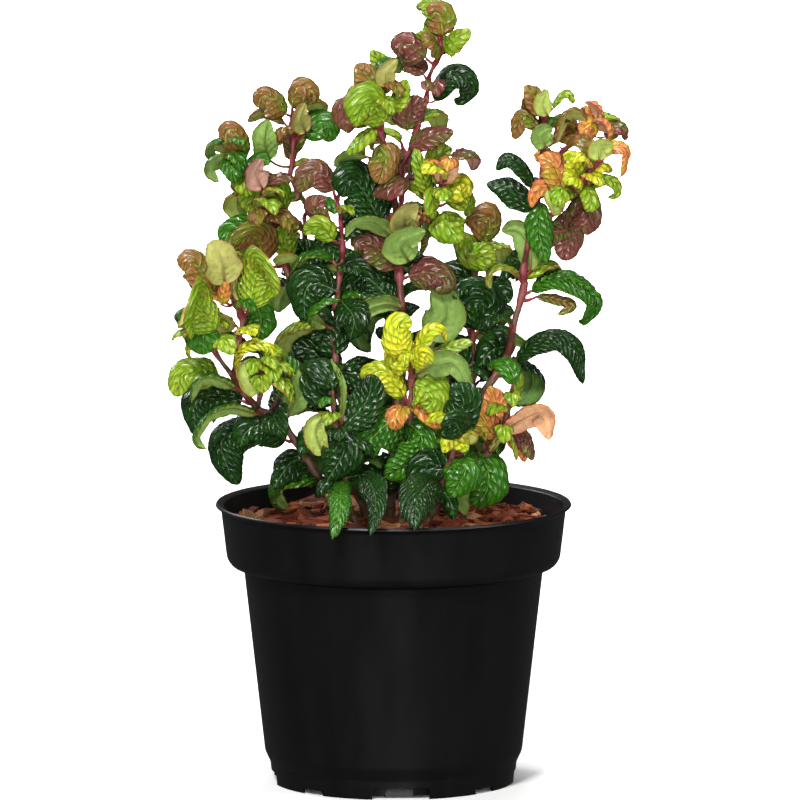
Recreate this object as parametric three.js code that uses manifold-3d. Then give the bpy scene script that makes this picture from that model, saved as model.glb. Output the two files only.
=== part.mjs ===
// A shrub with curled, puckered leaves in a black nursery pot, with bark mulch over its potting soil.
// Millimetres, +Z up. The origin is on the ground under the middle of the pot, and -Y is the front.
import * as THREE from "three";
import { mergeVertices } from "three/addons/utils/BufferGeometryUtils.js";
import Module from "manifold-3d";

const wasm = await Module();
wasm.setup();

// Driving dimensions of the pot
const potHeight = 150;
const rimRadius = 95;
const bandTopRadius = 92;
const bandLowRadius = 88.9;
const bandLowHeight = 120.4;
const shoulderHeight = 115;
const bodyTopRadius = 79.9;
const bodyLowRadius = 68.7;
const stepHeight = 16.6;
const footTopHeight = 10.4;
const footTopRadius = 65.8;
const footLowRadius = 64.8;
const floorClear = 6.4;
const wall = 1.5;
const ringRadius = 53;
const potTurn = 3.5;
const potSides = 30;

// Driving dimensions of the filling
const soilTop = 133;
const mulchTop = 139.5;
const seat = 0.3;
const chipCount = 26;
const chipReach = 86;

// Driving dimensions of the leaves
const petiole = 4.5;
const midribHalf = 0.75;
const stalkHalf = 0.9;
const bladeRows = [3, 9, 15];
const smallRows = [5, 13];
const curledRows = [2, 6, 10, 14, 18];
const smallLeaf = 24;
const ribSteps = 20;
const netStep = 4;
const leafGap = 3.4;
const stemGap = 5;
const ownGap = 2.6;
const depthReach = 111;
const viewSlope = 0.15;
const viewer = [0, -0.989, 0.148];
const goldenTurn = 137.5;

const rad = THREE.MathUtils.degToRad;
const mix = (a, b, t) => a + (b - a) * t;

// The leafy shoots, each a list of axes: the main stem first and then its side twigs. An axis has the points
// that it runs through, its radius at the low and the high end, where its leaves start as a share of its
// length, the gap between them, their blade length low and high, and the turn of the first. A seen leaf has
// its half width, its face and then its marks from stalk to tip: how far right, how high and how far forward.
const shoots = [
  {
    node: "centre_shoot",
    seed: 11,
    axes: [
      {
        points: [[-2, 5, 96], [-2, 4, 140], [1, 2, 200], [4, 0, 248], [3, -2, 275], [1, -3, 307],
          [2, -3, 327], [9, -2, 339], [17, 0, 364], [19, 0, 378], [25, 0, 391], [24, 0, 402]],
        radius: [3.2, 1.1], start: 0.3, gap: 44, long: [46, 27], turn: 20,
      },
      {
        points: [[2, -3, 327], [-3, -8, 339], [-8, -12, 352], [-9, -14, 366], [-8, -14, 376]],
        radius: [1.7, 1.0], start: 0.25, gap: 26, long: [32, 25], turn: 190,
      },
      {
        points: [[4, -2, 279], [14, -6, 300], [21, -8, 312], [27, -10, 323], [30, -10, 331]],
        radius: [1.8, 1.0], start: 0.25, gap: 26, long: [34, 24], turn: 300,
      },
    ],
    seen: [
      [8.2, -5, [26, 400, 2], [25, 409, 3], [22, 412, 4], [20, 409, 4]],
      [8.8, -25, [25, 395, 3], [20, 407, 6], [17, 404, 7], [17, 398, 6]],
      [7.4, 51, [26, 394, 2], [34, 399, 4], [41, 402, 4]],
      [7.4, -53, [24, 393, 3], [19, 396, 8], [15, 394, 7]],
      [8.8, -25, [17, 388, 1], [9, 394, 2], [4, 394, 2], [3, 388, 2]],
      [9.8, 53, [22, 365, -1], [26, 374, -2], [32, 379, -3], [39, 377, -3], [41, 371, -3],
        [36, 365, -3], [32, 366, -3]],
      [9, -51, [16, 379, 1], [8, 386, 3], [1, 387, 3]],
      [8.2, -30, [-6, 366, 1], [-12, 375, 2], [-20, 384, 2]],
      [6.8, -15, [-6, 368, -2], [-6, 382, -4], [-12, 392, -4]],
      [5.3, 170, [-3, 372, 3], [-4, 379, 7], [2, 386, 6]],
      [5.4, 30, [-1, 359, -2], [4, 368, -4], [7, 376, -4]],
      [10.6, -46, [-12, 352, -1], [-22, 360, -3], [-25, 358, -3], [-24, 347, -3]],
      [10.9, -20, [-5, 352, 2], [-10, 361, 4], [-16, 360, 5], [-20, 350, 4]],
      [5.7, -53, [-10, 350, 3], [-17, 344, 8], [-25, 336, 7]],
      [8.8, 20, [-8, 341, 2], [-4, 334, 4], [-8, 320, 4]],
      [4.9, -110, [-14, 335, -1], [-24, 336, -3], [-30, 332, -3], [-27, 330, -3]],
      [8.2, -20, [7, 349, 1], [9, 359, 3], [18, 365, 3]],
      [6.8, 35, [8, 341, 3], [20, 346, 7], [32, 348, 6]],
      [12.2, -15, [-7, 300, -1], [-17, 318, -3], [-24, 322, -3], [-27, 313, -3]],
      [9, -54, [6, 323, 2], [1, 322, 4], [-11, 314, 4]],
      [9.5, -10, [-3, 304, -2], [-16, 308, -6], [-28, 298, -6]],
      [6.5, -130, [0, 292, 2], [-10, 299, 4], [-20, 299, 5], [-25, 292, 4]],
      [9.5, -30, [2, 276, 2], [-7, 285, 3], [-17, 289, 4], [-18, 284, 4]],
      [7.9, 172, [8, 295, 3], [5, 303, 8], [13, 310, 7]],
      [9.3, 175, [8, 279, 4], [4, 289, 9], [17, 295, 8]],
      [4.8, -30, [19, 314, 1], [15, 327, 3], [11, 339, 3]],
      [7.5, 20, [22, 320, -1], [24, 335, -3], [31, 340, -3]],
      [6, 160, [24, 321, 2], [29, 328, 4], [34, 334, 4]],
      [9, 46, [25, 313, 2], [33, 321, 3], [39, 320, 4], [38, 313, 4]],
      [8.2, 49, [28, 310, -1], [38, 315, -2], [42, 310, -2], [38, 303, -2]],
      [6.8, -20, [24, 308, 2], [21, 310, 4], [22, 301, 4]],
      [9.5, 5, [28, 306, 2], [30, 297, 6], [36, 289, 6]],
      [8.8, 15, [8, 271, 2], [19, 273, 5], [27, 268, 6], [21, 264, 6]],
      [12.2, -15, [-1, 258, 1], [-14, 270, 3], [-22, 266, 3], [-24, 252, 3]],
      [5.3, -142, [4, 254, 4], [-4, 257, 8], [-17, 252, 10], [-25, 240, 8]],
      [9.9, 177, [19, 237, 3], [28, 252, 7], [23, 268, 6]],
    ],
  },
  {
    node: "left_shoot",
    seed: 23,
    axes: [
      {
        points: [[-14, 4, 96], [-15, 5, 140], [-24, 10, 190], [-36, 15, 223], [-46, 19, 239],
          [-55, 23, 265], [-60, 26, 282], [-62, 28, 293], [-58, 30, 311], [-54, 32, 329], [-54, 34, 353]],
        radius: [3.1, 1.1], start: 0.3, gap: 44, long: [44, 30], turn: 100,
      },
      {
        points: [[-62, 28, 293], [-71, 27, 308], [-83, 25, 324], [-88, 24, 337]],
        radius: [1.6, 1.0], start: 0.35, gap: 26, long: [28, 22], turn: 150,
      },
      {
        points: [[-60, 26, 282], [-67, 17, 289], [-71, 11, 302], [-69, 9, 314]],
        radius: [1.6, 1.0], start: 0.35, gap: 26, long: [36, 28], turn: 250,
      },
    ],
    seen: [
      [9.8, -47, [-57, 359, 2], [-65, 367, 4], [-70, 368, 5], [-72, 362, 4]],
      [6.5, -100, [-58, 354, 2], [-69, 360, 6], [-78, 355, 6]],
      [8.2, 49, [-54, 363, 1], [-52, 372, 2], [-47, 373, 2], [-43, 369, 2], [-45, 364, 2]],
      [5.3, 165, [-47, 349, 3], [-50, 357, 8], [-47, 365, 7]],
      [10.2, 35, [-48, 347, -1], [-40, 354, -3], [-35, 353, -3], [-34, 344, -3]],
      [6.6, 178, [-66, 334, 3], [-69, 345, 7], [-67, 356, 6]],
      [10.2, 25, [-52, 338, -2], [-54, 350, -3], [-56, 351, -4], [-56, 340, -4], [-56, 335, -4]],
      [7.5, -35, [-78, 336, 2], [-84, 348, 3], [-88, 350, 4], [-90, 344, 4]],
      [5.7, -110, [-82, 339, 2], [-88, 343, 4], [-96, 340, 4]],
      [6.8, -30, [-77, 328, -2], [-84, 332, -3], [-91, 335, -4], [-90, 331, -4]],
      [6, -140, [-78, 319, 1], [-84, 331, 2], [-92, 334, 3], [-98, 328, 3], [-93, 322, 3]],
      [6.6, 160, [-70, 318, 2], [-74, 327, 6], [-70, 334, 6]],
      [11.5, -15, [-59, 305, 2], [-65, 315, 4], [-72, 316, 5], [-77, 305, 4]],
      [5.7, -125, [-60, 309, 3], [-70, 304, 8], [-80, 299, 7]],
      [9.5, -25, [-68, 289, -2], [-79, 295, -4], [-87, 295, -5], [-91, 288, -4]],
      [10.2, -5, [-69, 279, 2], [-72, 290, 5], [-77, 293, 6], [-84, 286, 6]],
      [9.5, 10, [-52, 264, -2], [-46, 279, -6], [-51, 292, -6]],
      [7.4, 120, [-63, 278, 2], [-55, 280, 6], [-48, 278, 6]],
      [6.1, 0, [-54, 282, 2], [-58, 292, 4], [-51, 300, 4]],
      [9.5, -20, [-62, 285, -2], [-70, 294, -4], [-80, 290, -4]],
    ],
  },
  {
    node: "left_low_shoot",
    seed: 37,
    axes: [
      {
        points: [[-17, -8, 96], [-20, -9, 140], [-41, -20, 168], [-51, -28, 185], [-60, -34, 198],
          [-72, -38, 206], [-83, -42, 221], [-82, -44, 241], [-80, -45, 255], [-88, -46, 269],
          [-96, -48, 276]],
        radius: [3.0, 1.0], start: 0.32, gap: 40, long: [46, 26], turn: 200,
      },
      {
        points: [[-83, -42, 221], [-93, -47, 235], [-100, -50, 248]],
        radius: [1.5, 1.0], start: 0.4, gap: 26, long: [32, 26], turn: 210,
      },
      {
        points: [[-72, -38, 206], [-70, -47, 216], [-69, -52, 230]],
        radius: [1.5, 1.0], start: 0.4, gap: 26, long: [28, 22], turn: 10,
      },
    ],
    seen: [
      [9.3, 165, [-89, 266, 3], [-91, 279, 7], [-96, 289, 6]],
      [9.5, -35, [-94, 263, 1], [-103, 274, 2], [-108, 278, 2], [-110, 272, 2]],
      [4.1, -20, [-90, 257, 2], [-96, 264, 4], [-99, 257, 4]],
      [3.3, 20, [-91, 255, 2], [-88, 267, 6]],
      [7.4, 120, [-80, 250, 2], [-83, 264, 4], [-85, 279, 4]],
      [11.5, 20, [-76, 253, -2], [-72, 272, -4], [-67, 273, -4], [-64, 263, -5], [-69, 258, -4]],
      [12.9, -20, [-93, 242, 2], [-104, 254, 3], [-106, 254, 4], [-107, 246, 4], [-106, 236, 4]],
      [7.4, -130, [-83, 244, 3], [-95, 246, 8], [-111, 237, 8]],
      [9.5, -5, [-97, 244, 2], [-100, 238, 6], [-100, 228, 6]],
      [8.2, 5, [-73, 256, -2], [-70, 248, -4], [-72, 235, -4]],
      [8.2, 10, [-84, 240, -2], [-86, 236, -6], [-82, 229, -6]],
      [4.1, 62, [-84, 220, 2], [-80, 231, 4], [-72, 234, 4], [-65, 231, 5], [-68, 222, 4]],
      [7.3, 176, [-70, 209, 3], [-76, 217, 7], [-77, 226, 6]],
      [7.5, 5, [-61, 207, -2], [-55, 218, -4], [-58, 228, -4]],
      [6, 172, [-56, 196, 2], [-50, 209, 6], [-48, 222, 6]],
      [9.5, -30, [-93, 215, -1], [-104, 219, -2], [-112, 217, -2], [-115, 206, -2]],
      [4.9, -120, [-84, 211, 3], [-95, 216, 6], [-103, 214, 7], [-107, 203, 6]],
      [11.5, -30, [-80, 204, -1], [-95, 207, -3], [-105, 202, -3], [-104, 184, -3]],
      [4.9, -115, [-72, 197, 3], [-86, 200, 5], [-98, 195, 7], [-104, 184, 7], [-99, 178, 6]],
      [10.2, -30, [-67, 189, 1], [-81, 188, 1], [-91, 182, 2], [-88, 169, 2], [-82, 159, 1]],
      [10.2, -25, [-57, 183, 3], [-68, 191, 7], [-78, 187, 8], [-81, 179, 7]],
      [8.2, -20, [-45, 171, 1], [-54, 171, 3], [-64, 157, 3]],
    ],
  },
  {
    node: "right_shoot",
    seed: 41,
    axes: [
      {
        points: [[20, -1, 96], [21, -2, 140], [32, -5, 182], [46, -9, 207], [55, -8, 220], [61, -12, 232],
          [64, -15, 248], [69, -18, 267], [69, -20, 278], [74, -24, 305], [78, -27, 327], [79, -29, 344],
          [80, -31, 364]],
        radius: [3.2, 1.1], start: 0.3, gap: 44, long: [44, 24], turn: 60,
      },
      {
        points: [[73, -23, 297], [85, -29, 309], [91, -33, 318], [98, -37, 324], [104, -40, 333]],
        radius: [1.6, 1.0], start: 0.45, gap: 26, long: [30, 24], turn: 330,
      },
      {
        points: [[78, -27, 327], [90, -23, 341], [101, -18, 349], [109, -14, 354]],
        radius: [1.5, 1.0], start: 0.45, gap: 26, long: [28, 24], turn: 20,
      },
    ],
    seen: [
      [5.4, -20, [78, 356, 1], [74, 366, 3], [69, 372, 3]],
      [4.6, 172, [81, 356, 2], [78, 363, 5], [81, 370, 5]],
      [3.3, 62, [84, 360, 1], [89, 367, 1], [93, 367, 2], [95, 362, 1]],
      [6.5, -56, [77, 349, 1], [70, 356, 2], [66, 354, 2], [64, 343, 2]],
      [6, 172, [80, 339, 3], [78, 346, 7], [84, 350, 6]],
      [6.5, 105, [84, 341, 1], [90, 355, 1], [96, 358, 2], [102, 353, 1]],
      [8.2, 51, [86, 344, -1], [96, 347, -2], [100, 342, -2], [102, 336, -2]],
      [6.5, -46, [107, 345, 2], [104, 351, 4], [98, 347, 4]],
      [5.7, 53, [112, 345, 1], [117, 350, 1], [122, 349, 2], [123, 343, 1]],
      [6.6, 155, [108, 332, 2], [109, 339, 4], [116, 340, 4]],
      [5.7, 56, [113, 336, 1], [118, 339, 1], [123, 336, 2], [120, 323, 1]],
      [5.4, -10, [98, 324, 2], [93, 333, 4], [91, 331, 4]],
      [4.8, 20, [100, 324, 1], [102, 334, 3], [106, 337, 3]],
      [5.7, -46, [98, 322, 2], [93, 322, 6], [90, 319, 6]],
      [4.9, 58, [101, 316, 1], [110, 322, 2], [117, 320, 2], [118, 314, 2], [113, 312, 2]],
      [7.5, -20, [90, 317, 1], [84, 330, 3], [76, 334, 3]],
      [6.5, -53, [88, 311, 2], [80, 318, 3], [74, 314, 4], [73, 307, 4]],
      [4.6, 170, [89, 305, 3], [83, 311, 7], [81, 316, 6]],
      [6.5, -56, [74, 318, 1], [68, 329, 1], [60, 333, 2], [54, 327, 1]],
      [9, -46, [75, 307, -1], [62, 318, -3], [49, 320, -3]],
      [6.8, 5, [78, 310, 2], [77, 294, 5], [81, 278, 5]],
      [10.2, 10, [84, 299, 2], [93, 292, 6], [90, 279, 6]],
      [8.2, 35, [91, 295, 0], [99, 307, 0], [103, 302, 0], [102, 292, 0]],
      [7.3, -150, [73, 274, 3], [72, 288, 6], [65, 296, 7], [57, 295, 6]],
      [8.2, 53, [73, 263, 1], [83, 269, 2], [96, 267, 2], [107, 257, 2], [101, 247, 2], [98, 247, 2]],
      [2.7, 20, [76, 260, 1], [88, 258, 1], [95, 255, 2], [87, 250, 1]],
      [9, 58, [65, 226, 2], [75, 236, 4], [87, 239, 4], [97, 232, 5], [101, 213, 4]],
      [9.5, -10, [62, 234, -2], [52, 231, -6], [46, 223, -6]],
      [9.5, -20, [69, 279, -3], [62, 280, -7], [57, 268, -6]],
    ],
  },
  {
    node: "right_low_shoot",
    seed: 53,
    axes: [
      {
        points: [[15, -9, 96], [18, -11, 140], [36, -26, 163], [50, -38, 182], [60, -46, 203],
          [62, -52, 217]],
        radius: [2.6, 1.1], start: 0.42, gap: 28, long: [36, 30], turn: 350,
      },
    ],
    seen: [
      [4.1, -56, [60, 199, 0], [65, 208, 0], [66, 217, 0], [58, 220, 0]],
      [6.8, 0, [54, 184, 2], [46, 197, 5], [40, 208, 5]],
      [6.8, -5, [55, 189, -1], [54, 202, -3], [51, 212, -3]],
      [9.8, 120, [58, 188, 2], [70, 195, 4], [79, 197, 5], [82, 183, 4]],
      [4.9, 100, [51, 177, 3], [58, 185, 6], [62, 183, 7], [65, 172, 6]],
      [5.4, 25, [60, 184, 1], [67, 183, 3], [70, 171, 3]],
      [10.9, 15, [45, 176, 2], [50, 167, 4], [49, 155, 5], [41, 148, 4]],
      [6, 165, [42, 169, 3], [35, 161, 8], [38, 143, 7]],
      [9.8, 53, [57, 189, -2], [69, 186, -4], [74, 172, -4]],
    ],
  },
  {
    node: "front_shoot",
    seed: 67,
    axes: [
      {
        points: [[2, -15, 96], [4, -17, 140], [7, -34, 179], [9, -46, 208], [10, -56, 240]],
        radius: [2.6, 1.0], start: 0.34, gap: 34, long: [46, 25], turn: 240,
      },
    ],
    seen: [
      [7.5, -10, [8, 228, 2], [3, 235, 5], [3, 244, 6], [10, 245, 5]],
      [6.5, 53, [11, 227, 1], [18, 240, 3], [25, 242, 3], [28, 235, 3]],
      [7.5, -15, [8, 220, 3], [3, 228, 7], [0, 225, 8], [4, 217, 7]],
      [5.4, 30, [10, 222, 4], [16, 229, 9], [20, 223, 8]],
      [11.5, 0, [11, 213, 3], [16, 211, 6], [21, 204, 7], [16, 199, 6]],
      [4.8, 30, [11, 203, 4], [18, 196, 10], [25, 189, 9]],
      [7.5, -30, [6, 206, 1], [-3, 218, 3], [-14, 219, 3], [-14, 213, 3]],
      [7.3, 150, [12, 218, 1], [31, 225, 2], [41, 209, 2]],
      [6.5, 53, [12, 222, 1], [30, 232, 2], [42, 235, 1]],
      [11.5, -5, [4, 198, 2], [-3, 192, 5], [-13, 181, 6], [-10, 172, 6]],
      [12.9, 5, [8, 192, 4], [15, 184, 8], [11, 172, 10], [-5, 163, 8]],
      [10.9, 10, [2, 167, -1], [-6, 165, -3], [-15, 167, -3]],
    ],
  },
  {
    node: "front_left_shoot",
    seed: 71,
    axes: [
      {
        points: [[-10, -18, 96], [-12, -22, 140], [-24, -47, 168], [-30, -57, 193], [-32, -64, 215]],
        radius: [2.5, 1.0], start: 0.36, gap: 30, long: [48, 34], turn: 270,
      },
    ],
    seen: [
      [6, 165, [-37, 175, 2], [-42, 188, 6], [-36, 198, 6]],
      [10.2, 0, [-31, 184, 3], [-26, 177, 7], [-35, 161, 6]],
      [3, 115, [-28, 191, 2], [-27, 211, 4], [-33, 226, 4]],
      [7.8, 20, [-24, 163, 3], [-15, 163, 7], [-11, 149, 6]],
      [5.4, 0, [-25, 161, 6], [-28, 156, 24], [-28, 146, 44], [-32, 130, 53]],
      [6.6, 15, [-21, 161, 6], [-13, 161, 24], [-9, 149, 44], [-12, 132, 55]],
      [9.6, 5, [-27, 189, -2], [-14, 204, -4], [-11, 218, -4]],
      [7.8, -15, [-31, 180, -2], [-43, 183, -6], [-50, 175, -6]],
      [8.4, 0, [-31, 203, -2], [-40, 211, -4], [-38, 225, -4]],
    ],
  },
  {
    node: "front_right_shoot",
    seed: 83,
    axes: [
      {
        points: [[12, -22, 96], [14, -27, 140], [24, -50, 164], [31, -60, 184], [33, -66, 202]],
        radius: [2.4, 1.0], start: 0.38, gap: 30, long: [44, 32], turn: 300,
      },
    ],
    seen: [
      [10.2, 0, [27, 167, 2], [17, 166, 4], [11, 154, 4]],
      [10.2, -5, [23, 161, 6], [18, 159, 22], [12, 150, 40], [11, 135, 49]],
      [4.1, 20, [25, 157, 3], [30, 150, 8], [32, 140, 7]],
      [5.7, -46, [40, 178, 2], [31, 184, 6], [26, 176, 6]],
      [8.8, -15, [36, 185, -1], [32, 192, -2], [26, 188, -1]],
      [9.5, 10, [31, 189, -2], [37, 203, -5], [31, 213, -5]],
      [9.5, 20, [30, 171, 1], [38, 167, 3], [30, 152, 3]],
    ],
  },
  {
    node: "inner_left_shoot",
    seed: 97,
    axes: [
      {
        points: [[-9, -4, 96], [-11, -6, 140], [-24, -8, 189], [-31, -6, 229], [-30, -4, 260],
          [-27, -3, 284], [-28, -2, 300], [-30, -2, 312]],
        radius: [2.7, 1.0], start: 0.34, gap: 34, long: [46, 34], turn: 210,
      },
    ],
    seen: [
      [7.9, -35, [-32, 317, 2], [-40, 327, 4], [-46, 325, 5], [-51, 316, 4]],
      [7.1, 51, [-35, 299, 2], [-42, 307, 4], [-37, 314, 4]],
      [6.8, 25, [-32, 290, 2], [-40, 297, 5], [-48, 294, 5]],
      [10.9, -10, [-30, 263, 2], [-41, 267, 4], [-47, 262, 5], [-47, 247, 4]],
      [4.9, 100, [-36, 244, 3], [-44, 249, 7], [-38, 256, 8], [-27, 258, 7]],
      [9, 4, [-27, 285, -2], [-33, 287, -4], [-39, 278, -4]],
      [10.2, 5, [-31, 228, 2], [-35, 239, 4], [-44, 238, 4]],
      [10.2, 10, [-28, 258, 2], [-20, 247, 4], [-22, 234, 4]],
      [9.5, 0, [-32, 216, -2], [-42, 230, -4], [-54, 234, -4]],
      [10.9, 10, [-28, 220, 2], [-12, 216, 4], [-6, 200, 4]],
      [8.8, 0, [-28, 279, -2], [-22, 285, -6], [-12, 278, -6]],
    ],
  },
  {
    node: "inner_right_shoot",
    seed: 101,
    axes: [
      {
        points: [[17, 8, 96], [20, 9, 140], [32, 10, 185], [41, 6, 223], [42, 10, 252], [44, 12, 278]],
        radius: [2.7, 1.0], start: 0.34, gap: 34, long: [44, 34], turn: 320,
      },
    ],
    seen: [
      [12.2, -15, [45, 242, 2], [48, 256, 4], [42, 258, 5], [36, 250, 4]],
      [5.7, 115, [42, 240, 3], [59, 240, 8], [74, 233, 7]],
      [8.2, -30, [47, 289, 2], [51, 302, 4], [44, 301, 5], [44, 296, 4]],
      [9.5, -15, [45, 284, 2], [40, 290, 5], [43, 283, 6], [55, 279, 6]],
      [8.8, 5, [43, 220, -2], [51, 224, -4], [58, 219, -4]],
      [9.5, 0, [40, 223, 2], [31, 230, 4], [22, 224, 4]],
      [8.8, 10, [43, 266, -2], [32, 272, -6], [23, 265, -6]],
      [9.5, -5, [41, 207, -2], [34, 204, -4], [27, 192, -4]],
      [8.8, 10, [43, 258, -2], [57, 263, -4], [62, 257, -4]],
    ],
  },
  {
    node: "back_left_shoot",
    seed: 113,
    axes: [
      {
        points: [[-9, 16, 96], [-12, 20, 140], [-30, 40, 190], [-42, 56, 238], [-47, 64, 272],
          [-48, 68, 296]],
        radius: [2.9, 1.0], start: 0.3, gap: 11.5, long: [46, 30], turn: 120,
      },
    ],
  },
  {
    node: "back_shoot",
    seed: 127,
    axes: [
      {
        points: [[4, 18, 96], [5, 22, 140], [5, 40, 200], [2, 54, 258], [4, 62, 300], [6, 66, 332]],
        radius: [3.0, 1.0], start: 0.3, gap: 11.5, long: [46, 28], turn: 80,
      },
    ],
    seen: [
      [7.5, 0, [10, 177, -8], [15, 190, -36], [20, 184, -64], [22, 167, -78]],
    ],
  },
  {
    node: "back_right_shoot",
    seed: 131,
    axes: [
      {
        points: [[14, 16, 96], [18, 20, 140], [36, 38, 186], [46, 52, 224], [50, 61, 254], [51, 66, 274]],
        radius: [2.9, 1.0], start: 0.3, gap: 11.5, long: [44, 30], turn: 40,
      },
    ],
  },
];

// A repeatable run of random numbers from 0 to 1.
function draws(seed) {
  let state = (seed * 7919 + 13) >>> 0;
  return () => {
    state = (Math.imul(state, 1664525) + 1013904223) >>> 0;
    return state / 4294967296;
  };
}

const add = (p, q, k = 1) => [p[0] + q[0] * k, p[1] + q[1] * k, p[2] + q[2] * k];
const dot = (p, q) => p[0] * q[0] + p[1] * q[1] + p[2] * q[2];
const cross = (p, q) => [p[1] * q[2] - p[2] * q[1], p[2] * q[0] - p[0] * q[2], p[0] * q[1] - p[1] * q[0]];
const unit = (p) => {
  const long = Math.sqrt(dot(p, p));
  return [p[0] / long, p[1] / long, p[2] / long];
};

// A smooth line through the points, with some steps in each span.
function smoothLine(points, steps) {
  const line = [];
  const last = points.length - 1;
  for (let i = 0; i < last; i++) {
    const [b, c] = [points[i], points[i + 1]];
    const a = i > 0 ? points[i - 1] : add(add(b, b), c, -1);
    const d = i + 2 <= last ? points[i + 2] : add(add(c, c), b, -1);
    for (let k = 0; k < steps; k++) {
      const t = k / steps;
      line.push([0, 1, 2].map((j) => 0.5 * (2 * b[j] + (c[j] - a[j]) * t
        + (2 * a[j] - 5 * b[j] + 4 * c[j] - d[j]) * t * t
        + (3 * b[j] - a[j] - 3 * c[j] + d[j]) * t * t * t)));
    }
  }
  line.push([...points[last]]);
  return line;
}

// The points of a line with each of its spans cut into equal steps.
function divided(points, steps) {
  const line = [];
  for (let i = 0; i + 1 < points.length; i++)
    for (let k = 0; k < steps; k++) line.push(add(points[i], add(points[i + 1], points[i], -1), k / steps));
  line.push(points.at(-1));
  return line;
}

// The lengths along a line, and the place and direction at one of them.
function lengthsAlong(line) {
  const along = [0];
  for (let i = 1; i < line.length; i++) {
    const step = add(line[i], line[i - 1], -1);
    along.push(along[i - 1] + Math.sqrt(dot(step, step)));
  }
  return along;
}

function placeOn(line, along, at) {
  let i = 1;
  while (i < line.length - 1 && along[i] < at) i++;
  const step = add(line[i], line[i - 1], -1);
  const t = Math.min(1, (at - along[i - 1]) / (along[i] - along[i - 1]));
  return { point: add(line[i - 1], step, t), direction: unit(step) };
}

// The frames of a leaf that grows by rule, from its stalk to its tip: the blade hooks over and down along
// its length, bends a little to one side and twists. A frame has its place, its forward and side directions
// and the normal of the upper face.
function grownFrames(leaf) {
  const upward = unit(add([0, 0, 0.45], leaf.direction, 0.55));
  const seen = unit(add([1, 0, 0], upward, -upward[0]));
  const seenSide = cross(upward, seen);
  const a = rad(leaf.turn);
  const out = [0, 1, 2].map((j) => Math.cos(a) * seen[j] + Math.sin(a) * seenSide[j]);
  const side = cross(upward, out);
  const frameAt = (s) => {
    const lift = rad(leaf.lift - leaf.curl * (leaf.hook * s + (1 - leaf.hook) * s * s));
    const bend = rad(leaf.bend * s * s);
    const twist = rad(leaf.twist * s);
    const ahead = [0, 1, 2].map((j) => Math.cos(bend) * out[j] + Math.sin(bend) * side[j]);
    const aside = [0, 1, 2].map((j) => Math.cos(bend) * side[j] - Math.sin(bend) * out[j]);
    const forward = [0, 1, 2].map((j) => Math.cos(lift) * ahead[j] + Math.sin(lift) * upward[j]);
    const above = [0, 1, 2].map((j) => Math.cos(lift) * upward[j] - Math.sin(lift) * ahead[j]);
    return {
      forward,
      side: [0, 1, 2].map((j) => Math.cos(twist) * aside[j] + Math.sin(twist) * above[j]),
      normal: [0, 1, 2].map((j) => Math.cos(twist) * above[j] - Math.sin(twist) * aside[j]),
    };
  };
  let place = add(leaf.point, frameAt(0).forward, leaf.stalk);
  const frames = [];
  for (let k = 0; k <= ribSteps; k++) {
    if (k > 0) place = add(place, frameAt((k - 0.5) / ribSteps).forward, leaf.long / ribSteps);
    frames.push({ place, ...frameAt(k / ribSteps) });
  }
  return frames;
}

// The frames of a leaf that is set out as seen from the front. Its face is the turn of the upper side away
// from the viewer about the midrib, taken at a third of its length and carried along from there.
function seenFrames(leaf) {
  const rough = smoothLine(leaf.line, 8);
  const along = lengthsAlong(rough);
  const full = along.at(-1);
  const line = [];
  for (let k = 0; k <= ribSteps; k++) line.push(placeOn(rough, along, (full * k) / ribSteps).point);
  const forward = line.map((p, k) =>
    unit(add(line[Math.min(ribSteps, k + 1)], line[Math.max(0, k - 1)], -1)));
  const normals = [];
  const start = Math.round(ribSteps / 3);
  const along0 = forward[start];
  const facing = unit(add(viewer, along0, -dot(viewer, along0)));
  const left = cross(viewer, along0);
  const aside = unit(add(left, along0, -dot(left, along0)));
  const a = rad(leaf.face);
  normals[start] = add([0, 1, 2].map((j) => facing[j] * Math.cos(a)), aside, Math.sin(a));
  const carry = (normal, direction) => unit(add(normal, direction, -dot(normal, direction)));
  for (let k = start + 1; k <= ribSteps; k++) normals[k] = carry(normals[k - 1], forward[k]);
  for (let k = start - 1; k >= 0; k--) normals[k] = carry(normals[k + 1], forward[k]);
  return line.map((place, k) => ({ place, forward: forward[k], normal: normals[k],
    side: cross(normals[k], forward[k]) }));
}

// The blade's half width at a share of its length, and how far its margin stands aside and above.
const outline = (s) => 2.49 * Math.pow(s, 0.55) * Math.pow(1 - s, 0.8);
function marginOffset(leaf) {
  const fold = rad(leaf.fold);
  const roll = rad(leaf.roll);
  return [(Math.sin(fold) - Math.sin(fold - roll)) / roll, (Math.cos(fold - roll) - Math.cos(fold)) / roll];
}

// The points that stand for a blade when it is tested: a net over it with a step of about four millimetres.
function bladePoints(leaf) {
  const [aside, above] = marginOffset(leaf);
  const rows = Math.min(ribSteps, Math.ceil(leaf.long / netStep));
  const across = Math.max(1, Math.ceil(leaf.half / netStep));
  const points = [0.55, 1].map((t) => add(leaf.point, add(leaf.frames[0].place, leaf.point, -1), t));
  for (let i = 1; i <= rows; i++) {
    const k = Math.round((i * ribSteps) / rows);
    const f = leaf.frames[k];
    const half = leaf.half * outline(k / ribSteps);
    for (let j = -across; j <= across; j++) {
      const u = j / across;
      if (k === ribSteps && j !== 0) continue;
      points.push(add(add(f.place, f.normal, half * above * u * u), f.side, half * aside * u));
    }
  }
  return points;
}

// True where a leaf stays clear of the pot and its mulch, and within the depth of the plant.
function clearOfPot(points) {
  for (const p of points) {
    const reach = Math.sqrt(p[0] * p[0] + p[1] * p[1]);
    if (Math.abs(p[1]) > depthReach) return false;
    const lowest = reach < chipReach ? mulchTop + 7 : potHeight + 1.8;
    if (reach < rimRadius + 2.5 && p[2] < lowest) return false;
  }
  return true;
}

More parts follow.
